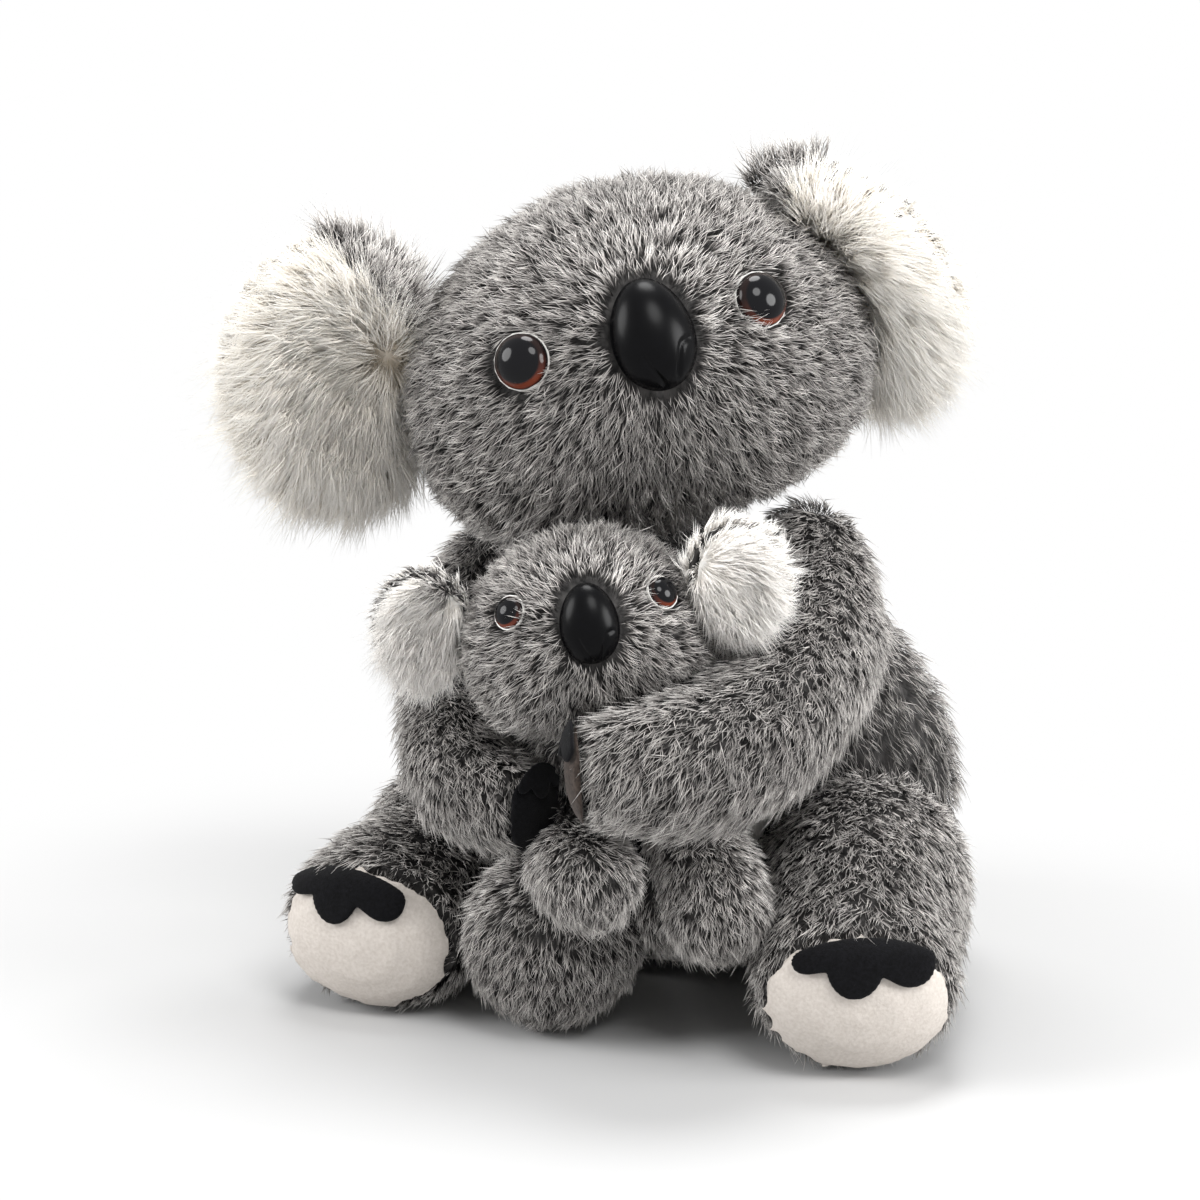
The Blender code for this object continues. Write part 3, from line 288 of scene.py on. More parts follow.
def headFrame(who):
    # A head's own directions from its nose and eyes, and the size of its nose.
    front = unit(centreOf(f"{who}_nose") - centreOf(f"{who}_nose_washer"))
    side = centreOf(f"{who}_left_eye_rim") - centreOf(f"{who}_right_eye_rim")
    side = unit(side - (side @ front) * front)
    up = np.cross(front, side)
    places = placesOf(frame["nodes"][f"{who}_nose"].data) - centreOf(f"{who}_nose_washer")
    widest = np.argmax(np.abs(places @ side))
    base = places[widest] @ front
    size = (np.abs(places @ side).max(), np.abs(places @ up).max(), (places @ front).max() - base)
    return {"front": front, "side": side, "up": up, "nose": centreOf(f"{who}_nose_washer") + base * front,
            "noseSize": size}


def rimDisc(who, side):
    # Centre, outward axis, upward direction and radius of an eye's rim.
    head = heads[who]
    places = placesOf(frame["nodes"][f"{who}_{side}_eye_rim"].data)
    centre = places.mean(axis=0)
    axis = np.linalg.svd(places - centre)[2][2]
    axis = axis if axis @ head["front"] > 0 else -axis
    up = unit(head["up"] - (head["up"] @ axis) * axis)
    toward = head["nose"] - centre
    toward = unit(toward - (toward @ axis) * axis)
    radius = np.linalg.norm(places - centre, axis=1).max()
    return {"centre": centre, "axis": axis, "up": up, "toward": toward, "radius": radius,
            "size": (radius * discShare["eye"], radius * discShare["eye"])}


# Bare round places in the fur, as shares of the size of the plastic pieces that stand in them
discShare = {"eye": 0.98, "nose": 0.95}
heads = {who: headFrame(who) for who in ("mother", "baby")}
for who, head in heads.items():
    head["eyes"] = {side: rimDisc(who, side) for side in ("left", "right")}
    nose = {"centre": head["nose"], "axis": head["front"], "up": head["up"], "toward": None,
            "size": (head["noseSize"][0] * discShare["nose"], head["noseSize"][1] * discShare["nose"])}
    head["discs"] = [nose, *head["eyes"].values()]


def cutSkin(name, node, skin):
    # The stuffed form before it swells: a little smaller than its solid, in even quads.
    piece = copyOfNode(name, node)
    if "neck" in skin:
        bpy.ops.object.mode_set(mode="EDIT")
        bpy.ops.mesh.select_all(action="SELECT")
        bpy.ops.mesh.convex_hull()
        bpy.ops.object.mode_set(mode="OBJECT")
    remesh = piece.modifiers.new("evenQuads", "REMESH")
    remesh.mode = "VOXEL"
    remesh.voxel_size = skin["voxel"]
    soften = piece.modifiers.new("soften", "SMOOTH")
    soften.iterations = skin["soften"]
    applyAll(piece)
    mesh = piece.data
    places = placesOf(mesh) - normalsOf(mesh) * skin["inset"]
    if "neck" in skin:
        centre, radius = skin["neck"]
        ways = places - centre
        reach = np.linalg.norm(ways, axis=1)
        inside = reach < radius
        places[inside] = centre + ways[inside] * (radius / reach[inside])[:, None]
    movePlaces(mesh, places)
    return piece


stuffing = {"pressure": 4, "frames": 20}


def stuff(pieces):
    # One cloth simulation for all skins: air pressure swells each one, and no point moves past its cap.
    before = {}
    for piece, skin in pieces:
        before[piece.name] = placesOf(piece.data)
        cloth = piece.modifiers.new("stuffing", "CLOTH")
        cloth.settings.use_pressure = True
        cloth.settings.uniform_pressure_force = stuffing["pressure"]
        cloth.settings.effector_weights.gravity = 0
        cloth.collision_settings.use_collision = False
    for number in range(1, stuffing["frames"] + 1):
        bpy.context.scene.frame_set(number)
    for piece, skin in pieces:
        applyAll(piece)
        start = before[piece.name]
        moves = placesOf(piece.data) - start
        reach = np.linalg.norm(moves, axis=1, keepdims=True)
        movePlaces(piece.data, start + moves * np.minimum(1, skin["cap"] / np.maximum(reach, 1e-9)))
    bpy.context.scene.frame_set(1)


# Fur's tips as a share of the inset, how far a neighbour is looked for, where it touches, and the way from
# there to free
openness = {"tips": 0.8, "sight": 0.006, "touch": 0.0006, "blend": 0.0035}


def opennessOf(piece, skin, near):
    # For each vertex, 0 where a neighbour hides it and 1 where it lies free.
    places = placesOf(piece.data) + normalsOf(piece.data) * skin["inset"] * openness["tips"]
    free = np.ones(len(places))
    for other in near:
        mesh = frame["nodes"][other].data
        faces = [tuple(face.vertices) for face in mesh.polygons]
        tree = BVHTree.FromPolygons([vertex.co for vertex in mesh.vertices], faces)
        for i, place in enumerate(places):
            spot, normal, _, distance = tree.find_nearest(Vector(place), openness["sight"])
            if spot is None:
                continue
            inside = (Vector(place) - spot).dot(normal) < 0
            gap = -distance if inside else distance
            room = np.clip((gap - openness["touch"]) / openness["blend"], 0, 1)
            free[i] = min(free[i], room)
    return free


def combedFrom(centre, hang=0.0):
    # Fur that runs away from a place, such as a nose, and hangs a little.
    return lambda points: unit(points - np.array(centre)) + hang * down


def combedAlong(path, hang=0.0):
    # Fur that runs along a limb's path and hangs a little.
    path = np.array(path)

    def flow(points):
        best = np.full(len(points), np.inf)
        ways = np.zeros_like(points)
        for start, stop in zip(path, path[1:]):
            run = stop - start
            share = np.clip(((points - start) @ run) / (run @ run), 0, 1)
            gap = np.linalg.norm(points - start - share[:, None] * run, axis=1)
            nearer = gap < best
            best[nearer] = gap[nearer]
            ways[nearer] = unit(run)
        return ways + hang * down
    return flow


def combedDownLimb(joint, node, pad, hang):
    return combedAlong((jointPlace[joint], centreOf(node), centreOf(pad)), hang)


# An ear's edge, as the cosine between a normal and the way that the ear faces
earEdge = {"back": -0.35, "front": 0.6}


def behind(back, pile):
    # Only the side of a cupped ear that looks away from its lining.
    front = unit(centreOf(pile) - centreOf(back))
    return lambda places, normals: normals @ front < earEdge["back"]


def aroundRim(back, pile):
    # The edge of a cupped ear, which the lining's fabric is folded over.
    front = unit(centreOf(pile) - centreOf(back))
    return lambda places, normals: (normals @ front > earEdge["back"]) & (normals @ front < earEdge["front"])


# Fur round a sole: how far back it is cut, up to which share of the sole's height, and how much shorter it
# is there and longer above
soleCut = {"depth": 0.022, "top": 0.9, "shorter": 0.68, "longer": 0.45}


def shortBySole(leg, sole):
    # Fur is cut short round a sole, apart from its top, where it is longer and hangs over the claws.
    centre = centreOf(sole)
    axis = unit(centre - centreOf(leg))
    up = unit(-down - (-down @ axis) * axis)
    reach = (placesOf(frame["nodes"][sole].data) @ up).max() - centre @ up

    def share(points):
        ways = points - centre
        close = np.clip(1 + (ways @ axis) / soleCut["depth"], 0, 1)
        low = np.clip(soleCut["top"] - (ways @ up) / reach, 0, 1)
        return 1 - soleCut["shorter"] * close * low + soleCut["longer"] * close * (low == 0)
    return share


def combedFromHollow(node, across, upward, hang):
    # Fur that runs away from a hollow, at a place across a piece as the camera sees it.
    centre = centreOf(node) + np.array(rightWay) * across + np.array(upWay) * upward
    return combedFrom(centre, hang)


def cornerOf(node, across, upward, wayAcross, wayUp):
    # A plane across a piece as the camera sees it, at a place measured from the piece's middle.
    return {"place": Vector(centreOf(node)) + rightWay * across + upWay * upward,
            "way": (rightWay * wayAcross + upWay * wayUp).normalized()}


def pastCorner(corner, past):
    level = corner["place"].dot(corner["way"])
    return lambda places, normals: (places @ np.array(corner["way"]) > level) == past


def bothOf(first, second):
    # Where two choices of a skin's places agree.
    if first is None:
        return second
    return lambda places, normals: first(places, normals) & second(places, normals)


# How strands are rooted: spare ones, the openness that a face and a root need, the facing of the far side,
# and a collar of upright strands round each disc
rooting = {"spare": 1.15, "openFace": 0.05, "openRoot": 0.08, "farSide": -0.25, "discDepth": -0.03,
           "collar": 1.5, "collarBlend": 0.5, "towardNose": 0.35}


def growFur(skinPiece, fur, free, flow, discs, shorten):
    # Roots, bends and tips of all strands on a skin. Near a disc, such as an eye, they stand up and lap over
    # it.
    draw = np.random.default_rng(fur["seed"])
    mesh = skinPiece.data
    mesh.calc_loop_triangles()
    corners = np.empty(len(mesh.loop_triangles) * 3, np.int32)
    mesh.loop_triangles.foreach_get("vertices", corners)
    corners = corners.reshape(-1, 3)
    places, normals = placesOf(mesh), normalsOf(mesh)
    a, b, c = places[corners[:, 0]], places[corners[:, 1]], places[corners[:, 2]]
    area = np.linalg.norm(np.cross(b - a, c - a), axis=1) / 2
    facing = normals[corners].mean(axis=1) @ np.array(backWay)
    weight = area * (free[corners].mean(axis=1) > rooting["openFace"])
    weight = weight * np.where(facing > rooting["farSide"], 1.0, fur["backShare"])
    spare = int(fur["count"] * rooting["spare"])
    picked = draw.choice(len(corners), size=spare, p=weight / weight.sum())
    shares = draw.random((len(picked), 2))
    over = shares.sum(axis=1) > 1
    shares[over] = 1 - shares[over]
    shares = np.column_stack((1 - shares.sum(axis=1), shares))
    roots = (places[corners[picked]] * shares[:, :, None]).sum(axis=1)
    outward = unit((normals[corners[picked]] * shares[:, :, None]).sum(axis=1))
    room = (free[corners[picked]] * shares).sum(axis=1)
    keep = room > rooting["openRoot"]
    upright = np.zeros(len(roots))
    for disc in discs:
        ways = roots - disc["centre"]
        ahead = ways @ disc["axis"]
        flat = ways - ahead[:, None] * disc["axis"]
        high = flat @ disc["up"]
        wide = np.linalg.norm(flat - high[:, None] * disc["up"], axis=1)
        reach = np.hypot(wide / disc["size"][0], high / disc["size"][1])
        facing = ahead > rooting["discDepth"]
        keep &= (reach > 1) | ~facing
        rise = np.clip((rooting["collar"] - reach) / rooting["collarBlend"], 0, 1) * facing
        if disc["toward"] is not None:
            rise *= np.clip(rooting["towardNose"] + unit(flat) @ disc["toward"], 0, 1)
        upright = np.maximum(upright, rise)
    kept = np.flatnonzero(keep)[: fur["count"]]
    share = shorten(roots[kept]) if shorten else 1
    return strandsAt(roots[kept], outward[kept], room[kept], upright[kept], share, fur, flow, draw)


# How strands vary: spreads for a tuft and for a strand, limits, how upright ones are raised, how much of the
# length is left beside a neighbour, and how much of the gathering reaches the bend
vary = {
    "lift": (0.25, 0.2),
    "length": (0.18, 0.18),
    "tone": (0.17, 0.17),
    "liftRange": (0.1, 1.5),
    "fallRange": (0.05, 1.3),
    "lengthRange": (0.4, 1.7),
    "toneRange": (0.04, 0.96),
    "radiusRange": (0.75, 1.25),
    "uprightRoot": 0.0012,
    "uprightLift": 0.4,
    "crowded": 0.35,
    "roomy": 0.65,
    "bendGather": 0.35,
}


def strandsAt(roots, outward, room, upright, share, fur, flow, draw):
    # Strands gather in tufts; each one leans the way it is combed, with its own stray, bend and tone.
    count = len(roots)
    tuftCount = max(1, count // fur["tuft"])
    tree = KDTree(tuftCount)
    for i in range(tuftCount):
        tree.insert(roots[i], i)
    tree.balance()
    tuftOf = np.array([tree.find(root)[1] for root in roots])

    def chance(ofTuft, ofStrand):
        return ofTuft * draw.normal(size=tuftCount)[tuftOf] + ofStrand * draw.normal(size=count)

    roots = roots + outward * (upright * vary["uprightRoot"])[:, None]
    ways = flow(roots)
    ways = unit(ways - (ways * outward).sum(axis=1)[:, None] * outward)
    side = np.cross(outward, ways)
    stray = chance(fur["stray"], fur["frizz"])[:, None]
    ways = ways * np.cos(stray) + side * np.sin(stray)
    lift = fur["rise"] * (1 + chance(*vary["lift"])) + vary["uprightLift"] * upright
    lift = np.clip(lift, *vary["liftRange"])[:, None]
    fall = np.clip(lift * fur["lean"], *vary["fallRange"])
    length = fur["length"] * share * np.clip(1 + chance(*vary["length"]), *vary["lengthRange"])
    length = length * (vary["crowded"] + vary["roomy"] * room)
    early = outward * np.sin(lift) + ways * np.cos(lift)
    late = unit(outward * np.sin(fall) + ways * np.cos(fall) + side * chance(0, fur["curl"])[:, None])
    bends = roots + early * (length * fur["ring"])[:, None]
    tips = bends + late * (length * (1 - fur["ring"]))[:, None]
    pull = (fur["gather"] * draw.random(count))[:, None]
    tips += (tips[tuftOf] - tips) * pull
    bends += (bends[tuftOf] - bends) * pull * vary["bendGather"]
    for points in (bends, tips):
        points[:, 2] = np.maximum(points[:, 2], fur["radius"] * 2)
    return {"roots": roots, "bends": bends, "tips": tips, "outward": outward,
            "tone": np.clip(0.5 + chance(*vary["tone"]), *vary["toneRange"]), "ring": fur["ring"],
            "radius": fur["radius"] * draw.uniform(*vary["radiusRange"], count)}


def buildFur(name, strands, chosen, material, body):
    # Each strand is a closed spindle of six faces, bent at its ring.
    roots, bends, tips = strands["roots"][chosen], strands["bends"][chosen], strands["tips"][chosen]
    count = len(roots)
    along = unit(tips - roots)
    side = unit(np.cross(along, strands["outward"][chosen]))
    over = np.cross(side, along)
    radius = strands["radius"][chosen][:, None]
    points = np.empty((count, 5, 3))
    points[:, 0] = roots
    for i, angle in enumerate((math.pi / 2, math.pi * 7 / 6, math.pi * 11 / 6)):
        points[:, 1 + i] = bends + radius * (side * math.cos(angle) + over * math.sin(angle))
    points[:, 4] = tips
    pattern = np.array(((0, 2, 1), (0, 3, 2), (0, 1, 3), (4, 1, 2), (4, 2, 3), (4, 3, 1)))
    faces = (pattern[None] + 5 * np.arange(count)[:, None, None]).reshape(-1, 3)
    mesh = bpy.data.meshes.new(name)
    mesh.vertices.add(count * 5)
    mesh.vertices.foreach_set("co", points.astype(np.float32).ravel())
    mesh.loops.add(len(faces) * 3)
    mesh.loops.foreach_set("vertex_index", faces.astype(np.int32).ravel())
    mesh.polygons.add(len(faces))
    mesh.polygons.foreach_set("loop_start", np.arange(0, len(faces) * 3, 3, dtype=np.int32))
    mesh.polygons.foreach_set("use_smooth", np.ones(len(faces), bool))
    spread = 0.012
    uv = np.empty((count, 6, 3, 2))
    uv[..., 0] = strands["tone"][chosen][:, None, None]
    uv[:, :, 1, 0] += spread
    uv[:, :, 2, 0] -= spread
    uv[:, :3, 0, 1] = 0.01
    uv[:, 3:, 0, 1] = 0.99
    uv[:, :, 1:, 1] = strands["ring"]
    layer = mesh.uv_layers.new(name="OFBake")
    layer.data.foreach_set("uv", uv.astype(np.float32).ravel())
    mesh.validate()
    mesh.update()
    piece = bpy.data.objects.new(name, mesh)
    bpy.context.scene.collection.objects.link(piece)
    mesh.materials.append(material)
    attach(piece, body)


# Kinds of fur and skins
longFur = {"length": 0.0085, "radius": 0.00018, "rise": 0.66, "lean": 0.45, "tuft": 5, "gather": 0.55,
           "stray": 0.24, "frizz": 0.26, "curl": 0.30, "ring": 0.48, "backShare": 0.6}
babyFur = dict(longFur, length=0.0070, radius=0.00016, rise=0.72, lean=0.5)
earFur = dict(longFur, length=0.0165, radius=0.00013, rise=0.80, lean=0.40, tuft=9, gather=0.50, stray=0.20,
              frizz=0.18, curl=0.22, ring=0.42, backShare=0.8)
earBackFur = dict(longFur, length=0.0065, rise=0.42, lean=0.25)
babyEarBackFur = dict(earBackFur, length=0.0050, radius=0.00016)
earRimFur = dict(earFur, length=0.0090)
babyEarRimFur = dict(earRimFur, length=0.0070)
babyEarFur = dict(earFur, length=0.0105, radius=0.00012)
cornerFur = dict(longFur, length=0.0130, rise=1.0, lean=0.9)
bellyFur = dict(babyEarFur, length=0.0070)
bodySkin = {"voxel": 0.005, "inset": 0.0034, "cap": 0.0018, "soften": 2}
limbSkin = {"voxel": 0.004, "inset": 0.0032, "cap": 0.0018, "soften": 2}
armSkin = dict(limbSkin, inset=0.0048)
smallSkin = {"voxel": 0.003, "inset": 0.0026, "cap": 0.0014, "soften": 2}
earBackSkin = {"voxel": 0.0022, "inset": 0.0006, "cap": 0.0004, "soften": 1}
babyEarBackSkin = dict(earBackSkin, voxel=0.0015)
earPileSkin = {"voxel": 0.003, "inset": 0.0030, "cap": 0.0015, "soften": 2}
babyEarPileSkin = dict(earPileSkin, voxel=0.002, inset=0.0016)
padSkin = {"voxel": 0.002, "inset": 0.0008, "cap": 0.0006, "soften": 1}
bellySkin = dict(padSkin, inset=0.0004, cap=0.0002)
motherNeck = (jointPlace["mother_head_turn"], 0.0385)
babyNeck = (jointPlace["baby_head_turn"], 0.0215)
rightCorner = cornerOf("mother_right_ear_pile", 0.0165, 0.0185, 0.70, 0.71)
leftCorner = cornerOf("mother_left_ear_pile", -0.021, 0.023, -0.75, 0.62)
babyCorner = cornerOf("baby_right_ear_pile", 0.004, 0.012, 0.6, 0.8)

# Each stuffed piece: its body, finish, fur, skin, neighbours and the way that its fur is combed
plush = {
    "mother_head": {
        "body": "mother_head", "finish": "grey", "fur": dict(longFur, count=50000, seed=1),
        "skin": dict(bodySkin, neck=motherNeck), "discs": heads["mother"]["discs"], "parts": 2,
        "near": ("mother_body", "mother_left_ear_back", "mother_left_ear_pile", "mother_right_ear_back",
                 "mother_right_ear_pile", "baby_head", "mother_left_arm", "mother_right_arm"),
        "comb": combedFrom(heads["mother"]["nose"] - heads["mother"]["front"] * 0.006, 0.15)},
    "mother_body": {
        "body": "body", "finish": "grey", "fur": dict(longFur, count=27000, seed=2),
        "skin": bodySkin, "parts": 2,
        "near": ("mother_head", "mother_left_arm", "mother_right_arm", "mother_left_leg", "mother_right_leg",
                 "mother_belly_panel", "baby_body", "baby_left_leg", "baby_right_leg"),
        "comb": combedFrom((-0.006, -0.015, 0.20), 0.6)},
    "mother_left_arm": {
        "body": "mother_left_arm", "finish": "grey", "fur": dict(longFur, count=22000, seed=3),
        "skin": armSkin,
        "near": ("mother_body", "mother_left_palm", "baby_head", "mother_head", "baby_left_ear_back"),
        "comb": combedDownLimb("mother_left_arm_open", "mother_left_arm", "mother_left_palm", 0.7)},
    "mother_right_arm": {
        "body": "mother_right_arm", "finish": "grey", "fur": dict(longFur, count=16000, seed=4),
        "skin": armSkin,
        "near": ("mother_body", "mother_right_palm", "baby_body", "baby_right_arm", "baby_head"),
        "comb": combedDownLimb("mother_right_arm_open", "mother_right_arm", "mother_right_palm", 0.6)},
    "mother_left_leg": {
        "body": "mother_left_leg", "finish": "grey", "fur": dict(longFur, count=22000, seed=5),
        "skin": limbSkin,
        "near": ("mother_body", "mother_left_sole", "baby_left_leg", "baby_right_leg", "baby_left_arm"),
        "comb": combedDownLimb("mother_left_leg_swing", "mother_left_leg", "mother_left_sole", 0.5),
        "shorten": shortBySole("mother_left_leg", "mother_left_sole")},
    "mother_right_leg": {
        "body": "mother_right_leg", "finish": "grey", "fur": dict(longFur, count=17500, seed=6),
        "skin": limbSkin,
        "near": ("mother_body", "mother_right_sole", "baby_right_leg", "mother_right_arm"),
        "comb": combedDownLimb("mother_right_leg_swing", "mother_right_leg", "mother_right_sole", 0.5),
        "shorten": shortBySole("mother_right_leg", "mother_right_sole")},
    "baby_head": {
        "body": "baby_head", "finish": "grey", "fur": dict(babyFur, count=21000, seed=7),
        "skin": dict(smallSkin, neck=babyNeck), "discs": heads["baby"]["discs"],
        "near": ("baby_body", "baby_left_ear_back", "baby_left_ear_pile", "baby_right_ear_back",
                 "baby_right_ear_pile", "mother_head", "mother_left_arm", "mother_right_arm", "mother_body"),
        "comb": combedFrom(heads["baby"]["nose"] - heads["baby"]["front"] * 0.004, 0.1)},
    "baby_body": {
        "body": "body", "finish": "grey", "fur": dict(babyFur, count=4000, seed=8), "skin": smallSkin,
        "near": ("baby_head", "baby_left_arm", "baby_right_arm", "baby_left_leg", "baby_right_leg",
                 "mother_body", "mother_right_arm"),
        "comb": combedFrom(jointPlace["baby_head_turn"], 0.6)},
    "baby_left_arm": {
        "body": "baby_left_arm", "finish": "grey", "fur": dict(babyFur, count=6500, seed=9),
        "skin": smallSkin,
        "near": ("baby_body", "mother_left_arm", "mother_left_leg", "baby_left_leg"),
        "comb": combedFrom(jointPlace["baby_left_arm_swing"] - down * 0.03, 0.6)},
    "baby_right_arm": {
        "body": "baby_right_arm", "finish": "grey", "fur": dict(babyFur, count=6500, seed=10),
        "skin": smallSkin,
        "near": ("baby_body", "mother_right_arm", "baby_right_leg", "baby_left_arm"),
        "comb": combedFrom(jointPlace["baby_right_arm_swing"] - down * 0.03, 0.6)},
    "baby_left_leg": {
        "body": "body", "finish": "grey", "fur": dict(babyFur, count=3500, seed=11), "skin": smallSkin,
        "near": ("baby_body", "baby_left_arm", "mother_left_leg", "baby_right_leg"),
        "comb": combedFrom(jointPlace["baby_head_turn"], 0.5)},
    "baby_right_leg": {
        "body": "body", "finish": "grey", "fur": dict(babyFur, count=10000, seed=12), "skin": smallSkin,
        "near": ("baby_body", "mother_body", "mother_right_leg", "mother_left_leg", "baby_right_arm",
                 "baby_left_leg"),
        "comb": combedFrom(jointPlace["baby_head_turn"], 0.5)},
    "mother_left_ear_back": {
        "body": "mother_left_ear", "finish": "grey", "fur": dict(earBackFur, count=4500, seed=13),
        "rimFur": dict(earRimFur, count=4500, seed=73), "rimFinish": "cream",
        "skin": earBackSkin, "near": ("mother_head",), "corner": leftCorner, "cornerCount": 1200,
        "comb": combedFromHollow("mother_left_ear_pile", -0.010, 0.010, -0.2),
        "where": behind("mother_left_ear_back", "mother_left_ear_pile"),
        "rim": aroundRim("mother_left_ear_back", "mother_left_ear_pile")},
    "mother_right_ear_back": {
        "body": "mother_right_ear", "finish": "grey", "fur": dict(earBackFur, count=5000, seed=14),
        "rimFur": dict(earRimFur, count=5000, seed=74), "rimFinish": "cream",
        "skin": earBackSkin, "near": ("mother_head",), "corner": rightCorner, "cornerCount": 2600,
        "comb": combedFromHollow("mother_right_ear_pile", 0.013, 0.008, -0.3),
        "where": behind("mother_right_ear_back", "mother_right_ear_pile"),
        "rim": aroundRim("mother_right_ear_back", "mother_right_ear_pile")},
    "mother_left_ear_pile": {
        "body": "mother_left_ear", "finish": "cream", "fur": dict(earFur, count=24000, seed=15),
        "skin": earPileSkin, "near": ("mother_head", "mother_left_ear_back"), "corner": leftCorner,
        "cornerCount": 1500, "comb": combedFromHollow("mother_left_ear_pile", -0.010, 0.010, 0.25)},
    "mother_right_ear_pile": {
        "body": "mother_right_ear", "finish": "cream", "fur": dict(earFur, count=26500, seed=16),
        "skin": earPileSkin, "near": ("mother_head", "mother_right_ear_back"), "corner": rightCorner,
        "cornerCount": 2600, "comb": combedFromHollow("mother_right_ear_pile", 0.013, 0.008, 0.25)},
    "baby_left_ear_back": {
        "body": "baby_left_ear", "finish": "grey", "fur": dict(babyEarBackFur, count=1200, seed=17),
        "rimFur": dict(babyEarRimFur, count=1200, seed=77), "rimFinish": "white",
        "skin": babyEarBackSkin, "near": ("baby_head",),
        "comb": combedFrom(jointPlace["baby_left_ear_fold"]),
        "where": behind("baby_left_ear_back", "baby_left_ear_pile"),
        "rim": aroundRim("baby_left_ear_back", "baby_left_ear_pile")},
    "baby_right_ear_back": {
        "body": "baby_right_ear", "finish": "grey", "fur": dict(babyEarBackFur, count=1400, seed=18),
        "rimFur": dict(babyEarRimFur, count=1200, seed=78), "rimFinish": "white",
        "skin": babyEarBackSkin, "near": ("baby_head",),
        "comb": combedFrom(jointPlace["baby_right_ear_fold"]),
        "where": behind("baby_right_ear_back", "baby_right_ear_pile"),
        "rim": aroundRim("baby_right_ear_back", "baby_right_ear_pile")},
    "baby_left_ear_pile": {
        "body": "baby_left_ear", "finish": "white", "fur": dict(babyEarFur, count=7000, seed=19),
        "skin": babyEarPileSkin, "near": ("baby_head", "baby_left_ear_back"),
        "comb": combedFrom((0.034, -0.108, 0.160), 0.3)},
    "baby_right_ear_pile": {
        "body": "baby_right_ear", "finish": "white", "fur": dict(babyEarFur, count=7000, seed=20),
        "skin": babyEarPileSkin, "near": ("baby_head", "baby_right_ear_back"), "corner": babyCorner,
        "cornerCount": 500, "comb": combedFrom((-0.038, -0.118, 0.150), 0.3)},
    "mother_left_sole": {
        "body": "mother_left_leg", "finish": "sole", "skin": padSkin},
    "mother_right_sole": {
        "body": "mother_right_leg", "finish": "sole", "skin": padSkin},
    "mother_belly_panel": {
        "body": "body", "finish": "white", "fur": dict(bellyFur, count=4000, seed=23), "skin": bellySkin,
        "near": ("mother_body", "baby_body", "mother_left_leg", "mother_right_leg", "baby_right_leg",
                 "baby_left_leg"),
        "comb": combedFrom((-0.006, -0.02, 0.15), 0.6)},
}


def paleRim(mesh, cloth, rim, corner):
    # The backing of an ear's rim is the lining's, except past the corner.
    where = bothOf(rim, pastCorner(corner, False)) if corner else rim
    centres, normals = (np.empty(len(mesh.polygons) * 3, np.float32) for _ in range(2))
    mesh.polygons.foreach_get("center", centres)
    mesh.polygons.foreach_get("normal", normals)
    pale = where(centres.reshape(-1, 3).astype(float), normals.reshape(-1, 3).astype(float))
    mesh.materials.append(clothMaterial(cloth))
    mesh.polygons.foreach_set("material_index", pale.astype(np.int32))


skins = {node: cutSkin(node + "_skin", node, row["skin"]) for node, row in plush.items()}
print("skins cut")
stuff([(skins[node], row["skin"]) for node, row in plush.items()])
print("skins stuffed")

for node, row in plush.items():
    # Fur grows from a finer mesh of the skin than the one that stays under it.
    skin = skins[node]
    underFur = skin.data.copy() if "fur" in row else None
    subdivide = skin.modifiers.new("smoothCloth", "SUBSURF")
    subdivide.levels = subdivide.render_levels = 1
    applyAll(skin)
    corner = row.get("corner")
    free = opennessOf(skin, row["skin"], row.get("near", ()))
    coats = [("fur", row["finish"], row["fur"], row.get("where"))] if "fur" in row else []
    if "rim" in row:
        coats.append(("rim", row["rimFinish"], row["rimFur"], row["rim"]))
    if corner:
        coats = [(word, finish, fur, bothOf(where, pastCorner(corner, False)))
                 for word, finish, fur, where in coats]
        rollFur = dict(cornerFur, count=row["cornerCount"], seed=row["fur"]["seed"] + 30)
        coats.append(("corner", "grey", rollFur, pastCorner(corner, True)))
    for word, finish, fur, where in coats:
        grown = free * where(placesOf(skin.data), normalsOf(skin.data)) if where else free
        strands = growFur(skin, fur, grown, row["comb"], row.get("discs", ()), row.get("shorten"))
        order = np.argsort(-(strands["roots"] @ np.array(backWay)))
        for number, chosen in enumerate(np.array_split(order, row.get("parts", 1))):
            buildFur(f"{node}_{word}_{number}", strands, chosen, furOf[finish], row["body"])
    if underFur:
        skin.data = underFur
    only(skin)
    bpy.ops.object.shade_smooth()
    skin.data.materials.append(clothMaterial(clothFor[row["finish"]], corner))
    if "rim" in row:
        paleRim(skin.data, clothFor[row["rimFinish"]], row["rim"], corner)
    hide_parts(node)
    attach(skin, row["body"])
print("fur grown")


# Felt, suede and plastic pieces
def plainFinish(name, stops, grain, depth, constants, strength=0.5):
    material, shader, wire = makeMaterial(name, constants)
    wire.feed(shader.inputs["Base Color"], wire.noise(grain).ramp(stops))
    wire.feed(shader.inputs["Normal"], wire.bump(wire.noise(grain * 3), strength, depth))
    return material


blackFelt = plainFinish("blackFelt", ((0.3, (5, 5, 6)), (0.75, (17, 17, 20))), 900, 0.0005,
                        {"Roughness": 0.95, "Specular IOR Level": 0.1, "Sheen Weight": 0.05})
brownSuede = plainFinish("brownSuede", ((0.3, (42, 36, 33)), (0.75, (74, 64, 58))), 700, 0.0003,
                         {"Roughness": 0.9, "Specular IOR Level": 0.12, "Sheen Weight": 0.1})
satinBlack = plainFinish("satinBlack", ((0.3, (3, 3, 4)), (0.8, (5, 5, 7))), 300, 0.00006,
                         {"Roughness": 0.27, "Specular IOR Level": 0.10}, 0.2)
rimWhite = plainFinish("rimWhite", ((0.3, (214, 212, 208)), (0.8, (228, 226, 222))), 200, 0.00005,
                       {"Roughness": 0.35}, 0.2)


